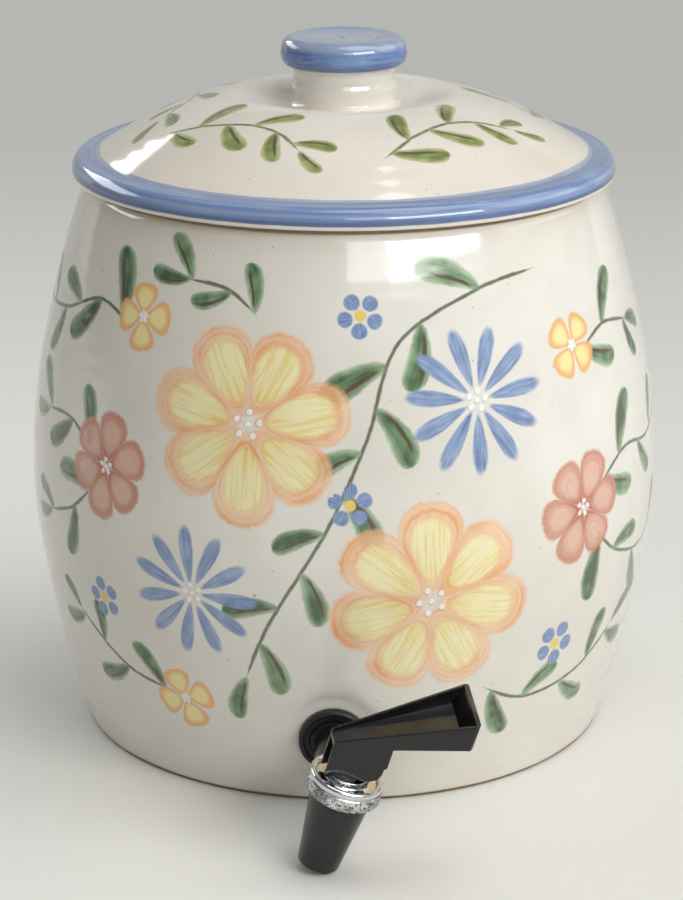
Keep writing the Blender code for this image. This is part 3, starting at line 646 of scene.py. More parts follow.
# %% Outline of the lid
GAP = 0.3 * MM
SEAT = CROCK_HEIGHT + GAP
RIM = float(crock_radius(CROCK_HEIGHT)) + 5.65 * MM
RIM_TOP = SEAT + 6.8 * MM
RIM_EDGE = 1.2 * MM
DOME_FOOT = (RIM - 12.0 * MM, RIM_TOP + 3.2 * MM)
DOME_RISE = 25.6 * MM
LID_WALL = 6.5 * MM
LID_TOP = SEAT + 58.5 * MM
KNOB_HEIGHT = 12.5 * MM
FLANGE_DEPTH, FLANGE_WALL, FLANGE_ROUND = 8.0 * MM, 5.5 * MM, 2 * MM
DOME_SHARES = (
    (1.0, 0.0), (0.894, 0.25), (0.753, 0.565), (0.611, 0.79),
    (0.47, 0.94), (0.4, 0.926), (0.345, 0.86), (0.3, 0.79),
)


def dome_line(sink=0.0, steps=12):
    """The dome from its foot to the neck, or its underside, sunk by the wall."""
    width, foot_height = DOME_FOOT[0] - sink, DOME_FOOT[1] - sink
    return flowing_line([(s * width, foot_height + rise * DOME_RISE) for s, rise in DOME_SHARES], steps)


flange = mouth - 2.0 * MM
flange_foot = SEAT - FLANGE_DEPTH
hollow = dome_line(LID_WALL, 4)
hollow = hollow[hollow[:, 0] < flange - FLANGE_WALL][::-1]
neck_foot = dome_line()[-1]
under = LID_TOP - KNOB_HEIGHT
under_part = one_line(
    [(0, hollow[0, 1])],
    hollow,
    bow((flange - FLANGE_WALL + FLANGE_ROUND, flange_foot + FLANGE_ROUND), FLANGE_ROUND, 180, 270, 4),
    bow((flange - FLANGE_ROUND, flange_foot + FLANGE_ROUND), FLANGE_ROUND, 270, 360, 4),
    [(flange, SEAT), (RIM - 6 * MM, SEAT)],
    bow((RIM - RIM_EDGE, SEAT + RIM_EDGE), RIM_EDGE, -90, 0, 4),
)
rim_part = curling_line(
    (RIM, RIM_TOP - 4.6 * MM),
    (1.2, 0, 0), (1.0, 0, 14), (1.1, 14, 22), (0.7, 22, 31), (1.8, 31, 43), (2.6, 43, 78),
)
neck_part = curling_line(
    neck_foot,
    (6.2, 110, 95), (5.4, 95, 2), (3.5, 2, -14), (1.6, -14, 0), (1.3, 0, 19),
    (1.2, 19, 19), (1.5, 19, 0), (2.0, 0, 0), (3.9, 0, -70),
)
neck_part[:, 1] += np.linspace(0, under - neck_part[-1, 1], len(neck_part))
knob_part = curling_line(
    neck_part[-1],
    (3.9, -80, -20), (3.6, -20, 5), (3.0, 5, 14), (2.2, 14, 40), (3.8, 40, 86),
)
knob_part[:, 1] += np.linspace(0, LID_TOP - knob_part[-1, 1], len(knob_part))
band_dip = (DOME_FOOT[0] + 2.2 * MM, DOME_FOOT[1] - 0.9 * MM)
knob_dish = np.array([(18, -0.45), (6.8, -0.9), (2.6, -0.8), (1.2, -0.2)]) * MM + (0, LID_TOP)
top_part = one_line(
    rim_part,
    even_line(flowing_line([rim_part[-1], band_dip, DOME_FOOT], 8), 0.8 * MM),
    even_line(dome_line(), 1.3 * MM),
    neck_part,
    knob_part,
    even_line([(knob_part[-1, 0], LID_TOP), *knob_dish], 0.7 * MM),
    [(0, LID_TOP - 0.1 * MM)],
)
for name, line in (("rim", rim_part), ("knob", knob_part)):
    print("the lid's", name, "reaches", round(line[:, 0].max() / MM, 1), "mm")

# %% Throw the lid
under_rows = len(under_part) - 1


def throw_lid(grid):
    """Adds faint rings to the dome and the spiral to the knob's top."""
    z, radius, angle = polar(grid)
    upper = np.arange(len(grid))[:, None] > under_rows + 20
    dome = upper & (radius > 29 * MM)
    sunk = (0.035 * np.sin(math.tau * radius / (7.5 * MM) + uneven(angle, radius, 1.5, 8)) + 0.035) * MM
    spiral = 0.5 + 0.5 * np.sin(math.tau * radius / (4.2 * MM) - angle)
    on_knob = upper & (z > LID_TOP - 1.2 * MM) & (radius < 21 * MM)
    grid[..., 2] -= np.where(dome, sunk, 0.0) + np.where(on_knob, spiral * 0.22 * MM, 0.0)
    return grid


lid, lid_grid, lid_quads = turned_piece("thrown_lid", one_line(under_part, top_part), 360, throw_lid)

# %% [markdown]
# The flowers are brush strokes under a clear glaze. An image would be the easy way, but it blurs when
# seen close and carries no idea of how it was made. Here each stroke is laid on the mesh as a pair of
# numbers, how far along and how far across the stroke a face's corner lies, in an attribute of its
# own, and the shader paints from those numbers. One layer holds one kind of thing, so that leaves can
# lie over stems and petals over leaves. The motifs are common folk ones: rosettes, daisies, round
# blooms and comma-shaped leaves.

# %% Lay strokes on the mesh
OFF_THE_PAINT = (9.0, 9.0, 0.0)


class PaintLayer:
    """Stroke coordinates for one layer, three numbers for each corner of each painted quad."""

    def __init__(self, grid, quads, first_row, last_row):
        columns = grid.shape[1]
        self.chosen = np.arange(first_row * columns, last_row * columns)
        self.corners = grid.reshape(-1, 3)[quads[self.chosen]]
        self.middles = self.corners.mean(axis=1)
        self.numbers = np.tile(np.array(OFF_THE_PAINT), (len(self.chosen), 4, 1))
        self.nearest = np.full(len(self.chosen), np.inf)

    def patch(self, place, along, across, size, reach, code, bend=0.0):
        """Lays a motif: its numbers run from its place along and across, in its own size."""
        near = np.flatnonzero(np.linalg.norm(self.middles - place, axis=1) < reach)
        u = (self.corners[near] - place) @ along / size
        v = (self.corners[near] - place) @ across / size - bend * u * (1 - u)
        middle = 0.5 if bend or reach < 1.3 * size else 0.0
        far = np.hypot(u.mean(axis=1) - middle, v.mean(axis=1) * (2.2 if middle else 1.0))
        better = far < self.nearest[near]
        near, u, v = near[better], u[better], v[better]
        self.nearest[near] = far[better]
        self.numbers[near] = np.stack([u, v, np.full_like(u, code)], axis=-1)

    def ribbon(self, path, normals, reach, code):
        """Lays a line: millimetres from its nearer end and millimetres off it."""
        ways = np.gradient(path, axis=0)
        ways /= np.linalg.norm(ways, axis=1)[:, None]
        sides = np.cross(normals, ways)
        walked = np.concatenate([[0], np.cumsum(np.linalg.norm(np.diff(path, axis=0), axis=1))])
        rough_gaps = np.linalg.norm(self.middles[:, None] - path[None, ::6], axis=2).min(axis=1)
        near = np.flatnonzero(rough_gaps < reach + 8 * MM)
        all_gaps = np.linalg.norm(self.middles[near][:, None] - path[None], axis=2)
        best, gaps = all_gaps.argmin(axis=1), all_gaps.min(axis=1)
        keep = (gaps < reach) & (gaps < self.nearest[near])
        near, best, gaps = near[keep], best[keep], gaps[keep]
        off = self.corners[near] - path[best][:, None]
        u = (off * ways[best][:, None]).sum(axis=2) + walked[best][:, None]
        u = np.minimum(u, walked[-1] - u)
        v = (off * sides[best][:, None]).sum(axis=2)
        self.nearest[near] = gaps
        self.numbers[near] = np.stack([u / MM, v / MM, np.full_like(u, code)], axis=-1)

    def store(self, mesh, title):
        """Writes the numbers to the mesh, one value for each corner of its faces."""
        values = np.tile(np.array(OFF_THE_PAINT, np.float32), (len(mesh.loops), 1))
        loops = (self.chosen[:, None] * 4 + np.arange(4)).ravel()
        values[loops] = self.numbers.reshape(-1, 3)
        stored = mesh.attributes.new(title, "FLOAT_VECTOR", "CORNER")
        stored.data.foreach_set("vector", values.ravel())
        print(title, "covers", int((self.nearest < np.inf).sum()), "faces")


def paint_layers(grid, quads, first_row, last_row, titles):
    """Empty layers for the same rows of a piece, by title."""
    return {title: PaintLayer(grid, quads, first_row, last_row) for title in titles}


print("a corner without paint holds", OFF_THE_PAINT)

# %% [markdown]
# A motif needs a place on the wall and two directions there: to the right, and up the wall. The crock
# gives them for a bearing and a height, and the lid for a bearing and a distance from its middle.

# %% Find places on the pot and the lid
SLOPE_STEP = 1 * MM


def out_and_right(bearing):
    """Level directions away from the axis and to the right of it, for a bearing in degrees."""
    turn = math.radians(bearing)
    return np.array([math.sin(turn), -math.cos(turn), 0.0]), np.array([math.cos(turn), math.sin(turn), 0.0])


def on_crock(bearing, height):
    """Place, rightward and upward directions on the crock, and its normal; bearing 0 is the front."""
    low, radius, high = (float(crock_radius(height + step)) for step in (-SLOPE_STEP, 0, SLOPE_STEP))
    out, right = out_and_right(bearing)
    up = (high - low) / (2 * SLOPE_STEP) * out + np.array([0, 0, 1.0])
    up /= np.linalg.norm(up)
    return radius * out + np.array([0, 0, height]), right, up, np.cross(right, up)


dome_points = dome_line()[::-1]


def on_lid(bearing, distance):
    """Place, rightward and inward directions on the dome, and its normal."""
    steps = np.array([-SLOPE_STEP, 0, SLOPE_STEP])
    low, mid, high = np.interp(distance + steps, dome_points[:, 0], dome_points[:, 1])
    out, right = out_and_right(bearing)
    inward = -out + np.array([0, 0, -(high - low) / (2 * SLOPE_STEP)])
    inward /= np.linalg.norm(inward)
    return distance * out + np.array([0, 0, mid]), right, inward, np.cross(right, inward)


print("the dome's paint starts", round(dome_points[-1, 0] / MM, 1), "mm from the middle")

# %% [markdown]
# A painter lays a bloom in one place and turns it, draws a stem in one sweep, and presses leaves off
# it on both sides by turns. The same three moves are written here once for the crock and the lid.

# %% Lay motifs, stems and leaves


def lay_motif(layer, spot, turn, size, code):
    """A motif whose first direction is turned by degrees from rightward, towards upward."""
    place, right, up, _ = spot
    a = math.radians(turn)
    along = math.cos(a) * right + math.sin(a) * up
    across = -math.sin(a) * right + math.cos(a) * up
    layer.patch(place, along, across, size, 1.15 * size, code)


def lay_stem(layer, surface, knots, code):
    """A stem through (bearing, distance) knots; gives its points and normals."""
    track = even_line(flowing_line(knots, 20) * (1, 1000), 0.6) * (1, 0.001)
    spots_on = [surface(*knot) for knot in track]
    path = np.array([spot[0] for spot in spots_on])
    normals = np.array([spot[3] for spot in spots_on])
    layer.ribbon(path, normals, 4.5 * MM, code)
    return path, normals


def grow_vine(layers, surface, knots, code, count, length, seed, lean):
    """A stem with comma leaves on both its sides by turns, and one that ends it."""
    path, normals = lay_stem(layers["stems"], surface, knots, code)
    leaves = layers["leaves_low"], layers["leaves_high"]
    dice = np.random.default_rng(seed)
    ways = np.gradient(path, axis=0)
    first, last = 0.08, 0.9
    for i in range(count + 1):
        hand = 1 if i % 2 else -1
        if i < count:
            at = int((first + (last - first) * i / max(1, count - 1)) * (len(path) - 1))
            a = math.radians(lean + dice.uniform(-9, 9))
        else:
            at = len(path) - 4
            a = math.radians(dice.uniform(-8, 8))
        way = ways[at] / np.linalg.norm(ways[at])
        side = np.cross(normals[at], way) * hand
        along = math.cos(a) * way + math.sin(a) * side
        across = np.cross(normals[at], along)
        size = length * dice.uniform(0.86, 1.1) * (1 - 0.22 * i / count)
        leaves[i % 2].patch(path[at], along, across, size, 1.12 * size, dice.uniform(0.02, 0.95), 0.26 * hand)


GREEN_LAYERS = ("stems", "leaves_low", "leaves_high")
print("vines use the layers", *GREEN_LAYERS)

# %% [markdown]
# The bouquet: two large pale yellow rosettes stand on a slant, a stem swings past both, and blue
# daisies, round rust blooms, small gold blooms and five-dot blossoms fill in round it. Short sprigs
# run off round the sides. No two blooms overlap, since a face can hold only one of them. A bloom is
# told by its kind, bearing, height, size and turn, and a vine by its knots, leaves and leaf length.

# %% Arrange the crock's bouquet
wall_layers = paint_layers(crock_grid, crock_quads, 8, outside_rows - 6, (*GREEN_LAYERS, "blooms"))
ROSETTE, DAISY, RUST, BLOSSOM, GOLD = 1, 2, 3, 4, 5
bouquet = (
    (ROSETTE, -17, 170, 41, 12),
    (ROSETTE, 15, 96, 42, 40),
    (DAISY, 24, 178, 30, 8),
    (DAISY, -27, 96, 28, 30),
    (RUST, -46, 142, 23, 20),
    (RUST, 46, 124, 24, 5),
    (GOLD, -41, 206, 14, 95),
    (GOLD, 47, 192, 14, 50),
    (GOLD, -31, 44, 14, 20),
    (BLOSSOM, 1, 139, 10, 20),
    (BLOSSOM, 3, 214, 10, 50),
    (BLOSSOM, -48, 82, 10, 33),
    (BLOSSOM, 42, 64, 11, 61),
)
for kind, bearing, height, size, turn in bouquet:
    code = kind + 0.05 + 0.013 * (size % 7)
    lay_motif(wall_layers["blooms"], on_crock(bearing, height * MM), turn, size * MM, code)
print("the bouquet has", len(bouquet), "blooms")

# %% Grow the crock's vines
vines = (
    ([(41, 0.226), (26, 0.221), (10, 0.203), (4, 0.166), (-3, 0.128), (-13, 0.086), (-18, 0.058)], 10, 30),
    ([(-43, 0.200), (-54, 0.208), (-68, 0.198), (-84, 0.196), (-98, 0.206)], 7, 30),
    ([(-50, 0.146), (-58, 0.156), (-69, 0.154)], 3, 29),
    ([(-49, 0.132), (-56, 0.118), (-66, 0.110)], 3, 27),
    ([(-33, 0.046), (-45, 0.052), (-58, 0.072)], 4, 25),
    ([(-16, 0.212), (-23, 0.222), (-33, 0.224)], 3, 24),
    ([(49, 0.188), (58, 0.196), (70, 0.192)], 3, 27),
    ([(50, 0.130), (60, 0.142), (72, 0.140), (86, 0.150)], 5, 28),
    ([(49, 0.114), (57, 0.098), (70, 0.092), (86, 0.104), (100, 0.110)], 6, 28),
    ([(26, 0.052), (36, 0.042), (50, 0.046), (62, 0.062)], 5, 26),
)
for i, (knots, count, length) in enumerate(vines):
    grow_vine(wall_layers, on_crock, knots, 0.1 + 0.1 * i, count, length * MM, 20 + i, 46)
for title, layer in wall_layers.items():
    layer.store(crock.data, title)

# %% Arrange the lid's sprigs
dome_layers = paint_layers(lid_grid, lid_quads, under_rows + 16, under_rows + 84, GREEN_LAYERS)
sprig = ((0, 0.086), (14, 0.072), (30, 0.066), (44, 0.070), (54, 0.082))
for i, start in enumerate((-66, 10, 86, 158, 228)):
    knots = [(start + bearing, distance) for bearing, distance in sprig]
    grow_vine(dome_layers, on_lid, knots, 0.1 + 0.15 * i, 6, 24 * MM, 60 + i, 44)
for title, layer in dome_layers.items():
    layer.store(lid.data, title)

# %% [markdown]
# A brush leaves long bristle marks along its way and a ragged, slightly wet edge. Every painted motif
# uses the same two effects, so they are one group: it takes how far along and across the stroke a
# point is, and gives the bristle marks and a small wobble for the edge.

# %% Group: bristle marks
(u, v, seed), close = new_group(
    "bristle_marks", {"Along": 0.0, "Across": 0.0, "Seed": 0.0}, "Marks", "Wobble", "Pool"
)
tree = u.tree
marks = cloud(vector_of(tree, u * 1.6, v * 26.0, seed * 37.0), 1.0, 3.0, 0.6)
wobble = cloud(vector_of(tree, u * 5.0, v * 9.0, seed * 11.0), 1.6, 2.0, 0.6) - 0.5
pool = cloud(vector_of(tree, u * 2.0, v * 2.0, seed * 71.0), 1.4, 1.0, 0.5)
bristle_marks = close(marks.rise(0.3, 0.7), wobble, pool.rise(0.3, 0.7))

# %% [markdown]
# A comma leaf is one press of a round brush: narrow where it starts, full and round at its end. Its
# half-width is the root of the way along, closed by a steep round end. The paint is a thin wash at
# the edge and lies darker in the middle. A second, thinner stroke in brown follows one side, as quick
# leaf painting often has it.

# %% Group: comma leaf
(stroke, pale, deep, line_tint), close = new_group(
    "comma_leaf",
    {"Stroke": (0, 0, 0), "Pale": (0, 0, 0, 1), "Deep": (0, 0, 0, 1), "Line": (0, 0, 0, 1)},
    "Cover", "Color",
)
tree = stroke.tree
u, v, seed = parts(stroke)
marks, wobble, pool = use_group(tree, bristle_marks, u, v, seed)
inside = u.within_one()
width = inside.do("SQRT") * (1.0 - inside.do("POWER", 5.0)).do("SQRT") * 0.25 + 0.014
edge = width - v.offset() + wobble * 0.05
ends = u.rise(-0.03, 0.04) * u.rise(1.04, 0.97)
cover = edge.rise(-0.014, 0.03) * ends
flow = edge.rise(0.0, 0.14) * 0.5 + marks * 0.22 + pool * 0.46 + (seed - 0.5) * 0.36
color = blend_color(flow.within_one(), pale, deep)
rib = (v - width * 0.36 + wobble * 0.05).offset() + (1.0 - marks) * 0.01
rib = rib.rise(0.044, 0.02) * u.rise(0.06, 0.2) * u.rise(0.9, 0.7)
color = blend_color(rib * 0.9, color, line_tint)
comma_leaf = close(cover * edge.rise(0.0, 0.09, 0.7, 0.95), color)

# %% [markdown]
# Daisies and rosettes repeat one petal round a middle. Folding does that without repeating a node:
# the angle of a point is rounded to the nearest petal's angle and the point is turned back by it, so
# that every petal is painted by the same formula, each with its own seed.

# %% Group: petal fold
(spot, petals), close = new_group(
    "petal_fold", {"Place": (0, 0, 0), "Petals": 7.0}, "Along", "Across", "Number", "Seed"
)
tree = spot.tree
x, y, code = parts(spot)
angle = y.do("ARCTAN2", x)
number = (angle * petals / math.tau).do("ROUND")
turned = angle - number * math.tau / petals
reach = distance_of(x, y)
seed = (number * 0.37 + code * 5.0).do("FRACT")
petal_fold = close(reach * turned.do("COSINE"), reach * turned.do("SINE"), number, seed)

# %% [markdown]
# One petal is an oval that widens outwards. Its distance number q is 0 in its middle and 1 on its
# edge, and everything is read from it: where paint lies, where the rim stroke of another colour runs,
# and where the paint is thin. Bristle marks follow the petal's length.

# %% Group: painted petals
(spot, petals, middle, length, narrow, wide), close = new_group(
    "painted_petals",
    {"Place": (0, 0, 0), "Petals": 7.0, "Middle": 0.56, "Length": 0.44, "Narrow": 0.1, "Wide": 0.3},
    "Edge", "Marks", "Rim marks", "Along", "Pool",
)
tree = spot.tree
along, across, number, seed = use_group(tree, petal_fold, spot, petals)
marks, wobble, pool = use_group(tree, bristle_marks, along * 1.2, across, seed)
half = narrow + (wide - narrow) * along.within_one()
reach = length * (0.93 + seed * 0.12)
q = distance_of((along - middle) / reach, across / half) + wobble * 0.16
rings = cloud(vector_of(tree, q * 13.0, along * 2.0, seed * 23.0), 1.0, 2.0, 0.6).rise(0.3, 0.7)
painted_petals = close(q, marks, rings, along, pool)

# %% [markdown]
# A glaze isn't one colour. It is a little warmer where it is thick, and iron in the clay comes through
# as small brown specks and pinholes. This group is used on the crock and on the lid.

# %% Group: speckled glaze
(place, warmth), close = new_group(
    "speckled_glaze", {"Place": (0, 0, 0), "Warmth": 0.0}, "Color", "Specks", "Height"
)
tree = place.tree
warm = cloud(place, 9.0, 3.0, 0.5).rise(0.3, 0.7)
fine = cloud(place, 60.0, 2.0, 0.5).rise(0.35, 0.7)
color = blend_color(warm, tint(228, 225, 217), tint(220, 216, 206))
color = blend_color(fine * 0.25, color, tint(212, 206, 194))
color = blend_color(warmth, color, tint(226, 210, 190))
near, chance = spots(place, 210.0)
specks = near.rise(0.12, 0.05) * chance.rise(0.86, 0.9)
near_big, chance_big = spots(place, 55.0)
big = near_big.rise(0.075, 0.03) * chance_big.rise(0.9, 0.93)
specks = (specks * 0.45 + big * 0.75).capped()
color = blend_color(specks, color, tint(132, 96, 68))
peel = cloud(place, 420.0, 1.0, 0.4) * 0.35 + cloud(place, 90.0, 2.0, 0.5) - specks * 1.2
speckled_glaze = close(color, specks, peel)

# %% [markdown]
# The blue on the rim and the knob was laid with a loaded brush on the turning wheel: streaks run
# round, the colour breaks pale over the edges where the glaze thins, and is navy where it pools. The
# same pale mix also takes the painted sheen that the lid gives its rim and its knob's top.

# %% Group: wheel-banded blue
(place, thin_and_sheen, pooled), close = new_group(
    "banded_blue", {"Place": (0, 0, 0), "Thin_and_sheen": 0.0, "Pooled": 0.0}, "Color"
)
tree = place.tree
x, y, z = parts(place)
radius = distance_of(x, y)
angle = y.do("ARCTAN2", x)
streaks = cloud(vector_of(tree, radius * 620.0, z * 620.0, angle * 1.1), 1.0, 3.0, 0.6).rise(0.28, 0.72)
patches = cloud(vector_of(tree, angle * 2.2, radius * 90.0, z * 60.0), 1.0, 2.0, 0.5).rise(0.3, 0.7)
color = blend_color(streaks, tint(93, 121, 172), tint(124, 149, 190))
color = blend_color(patches * 0.45, color, tint(78, 105, 158))
breaks = cloud(vector_of(tree, angle * 3.0, radius * 500.0, z * 500.0), 1.0, 3.0, 0.6).rise(0.5, 0.75)
color = blend_color(breaks * 0.55, color, tint(150, 170, 200))
color = blend_color(pooled * (streaks * 0.4 + 0.6), color, tint(56, 78, 128))
color = blend_color(thin_and_sheen, color, tint(178, 184, 188))
banded_blue = close(color)

# %% [markdown]
# Now the crock's material. The glaze lies first, then the stems, two layers of leaves, and the
# flowers. Each flower kind reads the same layer and shows only where the layer's code says so. The
# clay shows bare at the foot and underneath. Its lowest millimetre is painted dark as the shadow where
# the foot meets the floor, and the top edge under the lid's rim is painted darker brown as the shade
# there. Over all lies a clear, wet-looking coat.

# %% Material: painted crock
GLAZE_BUMP = 0.06 * MM
stoneware, tree, shader = new_material("painted_stoneware", 0.13)
shader.inputs["Coat Roughness"].default_value = 0.04
place = own_space(tree)
color, specks, peel = use_group(tree, speckled_glaze, place, 0.0)
GREENS = (tint(154, 184, 144), tint(46, 86, 46), tint(82, 56, 26))


def paint_greens(tree, color, pale, deep, line):
    """Stems first, then the two layers of leaves."""
    s, d, _ = parts(painted(tree, "stems"))
    ragged = cloud(vector_of(tree, s * 0.22, d * 0.6, 0.0), 1.0, 2.0, 0.5)
    half = s.rise(0.0, 12.0) * (ragged * 0.9 + 0.35)
    on_stem = (half - d.offset()).rise(-0.35, 0.45) * s.rise(0.0, 1.5)
    color = blend_color(on_stem * 0.85, color, blend_color(ragged.rise(0.4, 0.62) * 0.7, deep, line))
    for name in GREEN_LAYERS[1:]:
        cover, leaf = use_group(tree, comma_leaf, painted(tree, name), pale, deep, line)
        color = blend_color(cover, color, leaf)
    return color


color = paint_greens(tree, color, *GREENS)
bloom = painted(tree, "blooms")
x, y, code = parts(bloom)
reach = distance_of(x, y)


def is_kind(number):
    """1 where the bloom layer's code names this kind."""
    return code.do("FLOOR").do("COMPARE", float(number), 0.25)


def petals_of(count, *form):
    """This many petals on the bloom layer, with their middle, length and half-widths."""
    return use_group(tree, painted_petals, bloom, count, *form)


print("the greens and the glaze take", len(tree.nodes), "nodes")

# %% Paint the rosettes
edge, marks, rings, along, pool = petals_of(7.0, 0.55, 0.45, 0.12, 0.42)
streaks = (marks.rise(0.3, 1.0) * 0.6 + along.rise(0.6, 0.1, 0.0, 0.45)).capped()
yellow = blend_color(streaks, tint(238, 230, 184), tint(230, 200, 104))
rim = blend_color(rings * 0.6 + pool * 0.4, tint(240, 206, 166), tint(232, 160, 98))
petal = blend_color(edge.rise(0.58, 0.82), yellow, rim)
wash = edge.rise(0.62, 0.95, 0.96, 0.74) + (rings * pool).rise(0.3, 0.9) * 0.16
cover = edge.rise(1.12, 0.98) * is_kind(ROSETTE)
color = blend_color(cover * wash.capped(), color, petal)

# %% Paint the daisies
edge, marks, _, _, pool = petals_of(11.0, 0.6, 0.41, 0.04, 0.145)
blue = blend_color(marks * 0.7 + pool * 0.3, tint(158, 178, 206), tint(92, 118, 166))
color = blend_color(edge.rise(1.16, 0.86) * is_kind(DAISY) * 0.95, color, blue)

# %% Paint the rust and gold blooms
edge, _, rings, along, _ = petals_of(6.0, 0.54, 0.46, 0.08, 0.50)
strength = (rings * 0.35 + edge.rise(0.5, 0.95) * 0.4 + along.rise(0.5, 0.1) * 0.5).capped()
rust = blend_color(strength, tint(220, 172, 150), tint(180, 98, 66))
color = blend_color(edge.rise(1.12, 0.95) * is_kind(RUST) * edge.rise(0.9, 0.4, 0.94, 0.78), color, rust)
edge = petals_of(4.0, 0.54, 0.46, 0.12, 0.66)[0]
gold = blend_color(edge.rise(0.45, 0.95), tint(240, 224, 156), tint(232, 172, 104))
color = blend_color(edge.rise(1.12, 0.94) * is_kind(GOLD) * 0.92, color, gold)

# %% Paint the five-dot blossoms and the white dots
edge, marks, _, _, _ = petals_of(5.0, 0.62, 0.32, 0.26, 0.36)
small = blend_color(marks, tint(148, 168, 200), tint(98, 122, 168))
color = blend_color(edge.rise(1.15, 0.85) * is_kind(BLOSSOM), color, small)
along, across, _, _ = use_group(tree, petal_fold, bloom, 5.0)
ring = distance_of(along - 0.125, across)
size = is_kind(ROSETTE) * -0.015 + is_kind(GOLD) * 0.03 + 0.05
dots = ((ring / size).rise(1.1, 0.7) + (reach / size).rise(1.0, 0.6)).capped()
dots = dots * code.rise(0.9, 1.0) * (1.0 - is_kind(BLOSSOM))
dot_blossom = reach.rise(0.28, 0.2) * is_kind(BLOSSOM)
color = blend_color(dots * 0.95, color, tint(240, 239, 234))
color = blend_color(dot_blossom, color, tint(228, 198, 110))

# %% Bare clay at the foot, painted shade at the foot and under the rim, and the coat
BARE_UNDER, FOOT_SHADOW_UNDER, SEAT_SHADE_ABOVE = (0.0030, 0.0019), (0.0013, 0.0005), (0.2442, 0.2450)
z = parts(place)[2]
grit = cloud(place, 700.0, 2.0, 0.6)
clay = blend_color(grit, tint(176, 140, 104), tint(206, 176, 140))
bare = (z + cloud(place, 40.0, 2.0, 0.5) * 0.0022).rise(*BARE_UNDER)
color = blend_color(bare, color, clay)
# Painted shadow: the lowest millimetre is darkened where the foot meets the floor.
color = blend_color(z.rise(*FOOT_SHADOW_UNDER) * 0.8, color, tint(70, 58, 46))
# Painted shade: a brownish band at the crock's top, under the lid's rim.
color = blend_color(z.rise(*SEAT_SHADE_ABOVE) * 0.75, color, tint(122, 106, 88))
feed(tree, (1.0 - bare) * 0.35, shader.inputs["Coat Weight"])
gloss = (bare * 0.6 + specks * 0.2 + 0.11).capped(0.9)
height = peel * (1.0 - bare * 0.5) + dots * 6.0 + grit * bare
feed_finish(tree, shader, color, gloss, height, GLAZE_BUMP)
dress(crock.data, stoneware)

# %% [markdown]
# The lid shares the glaze, the leaves and the blue. Where the blue goes is told by the shape itself:
# on the rim outside a certain distance from the middle, and on the knob above a certain height. Each
# limit is a pair of metres between which the blue fades in, so that it ends as softly as a brush.

# %% Material: painted lid
lid_glaze, tree, shader = new_material("painted_lid", 0.12)
shader.inputs["Coat Weight"].default_value = 0.35
shader.inputs["Coat Roughness"].default_value = 0.04
place = own_space(tree)
x, y, z = parts(place)
radius = distance_of(x, y)
# Warmth tints the rim and the dome and fades out up the neck. The neck stays paler, which is painted light on
# the neck that faces the lamps.
color, specks, peel = use_group(tree, speckled_glaze, place, z.rise(0.286, 0.276) * 0.3)
OLIVES = (tint(186, 192, 124), tint(104, 118, 50), tint(52, 70, 52))
color = paint_greens(tree, color, *OLIVES)
RIM_INSIDE, RIM_UNDER, KNOB_UNDER, CREST_HEIGHT = (0.1064, 0.1072), (0.2490, 0.2497), (0.2937, 0.2944), 0.2530
wander = cloud(place, 30.0, 2.0, 0.5) * 0.0016
on_rim = (radius + wander).rise(*RIM_INSIDE) * (z + wander * 0.5).rise(*RIM_UNDER)
on_knob = (z + wander * 0.6).rise(*KNOB_UNDER)
# Partly thin glaze and partly painted sheen: the blue is paler along the rim's crest and a little paler over
# the whole rim.
crest = (z - CREST_HEIGHT).offset().rise(0.0012, 0.0002) * 0.25
rim_edge = radius.rise(0.1085, 0.1070) * 0.55
# Painted sheen: the knob's top is painted paler grey-blue, as the lamps' reflection on it.
knob_top_sheen = z.rise(0.3010, 0.3030) * 0.42
swirl = radius.rise(0.021, 0.004) * cloud(place, 260.0, 2.0, 0.5) * 0.5
thin_and_sheen = ((rim_edge + crest + 0.1) * on_rim + (knob_top_sheen + swirl) * on_knob).capped()
pooled = z.rise(0.2516, 0.2500) * on_rim + (z + wander).rise(0.2990, 0.2960) * on_knob * 0.5
blue, = use_group(tree, banded_blue, place, thin_and_sheen, pooled)
color = blend_color((on_rim + on_knob).capped(), color, blue)
unglazed = z.rise(0.2474, 0.2472) * radius.rise(0.1035, 0.1045)
color = blend_color(unglazed, color, tint(205, 178, 140))
feed_finish(tree, shader, color, (specks * 0.2 + unglazed * 0.5 + 0.10).capped(0.9), peel, GLAZE_BUMP)
dress(lid.data, lid_glaze)

# %% Seat the crock and the lid in the frame
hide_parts("crock")
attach(crock, "crock")
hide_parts("lid")
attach(lid, "lid")

# %% [markdown]
# The tap's mouldings are black plastic, which is never quite even: it is glossier where the mould was
# polished and hazy where hands touch it. One group gives that to the body, the washers, the nut and
# the lever, each with its own amounts.

# %% Group: moulded plastic
(place, haze), close = new_group(
    "moulded_plastic", {"Place": (0, 0, 0), "Haze": 0.1}, "Shade", "Roughness", "Height"
)
tree = place.tree
flow = cloud(place, 55.0, 3.0, 0.6).rise(0.3, 0.7)
touch = cloud(place, 240.0, 3.0, 0.65).rise(0.35, 0.75)
near, chance = spots(place, 900.0)
dust = near.rise(0.16, 0.08) * chance.rise(0.9, 0.94)
roughness = haze + flow * 0.06 + touch * haze + dust * 0.2
moulded_plastic = close(flow * 0.6 + dust * 0.9, roughness, touch * 0.4 + dust)


# %% Material: black plastics


def black_plastic(title, roughness, base, lift, bump=0.02 * MM):
    """A near-black moulding with its own gloss."""
    material, tree, shader = new_material(title, roughness)
    shade, rough, height = use_group(tree, moulded_plastic, own_space(tree), roughness * 0.7)
    feed_finish(tree, shader, blend_color(shade.capped(), base, lift), rough, height, bump)
    return material


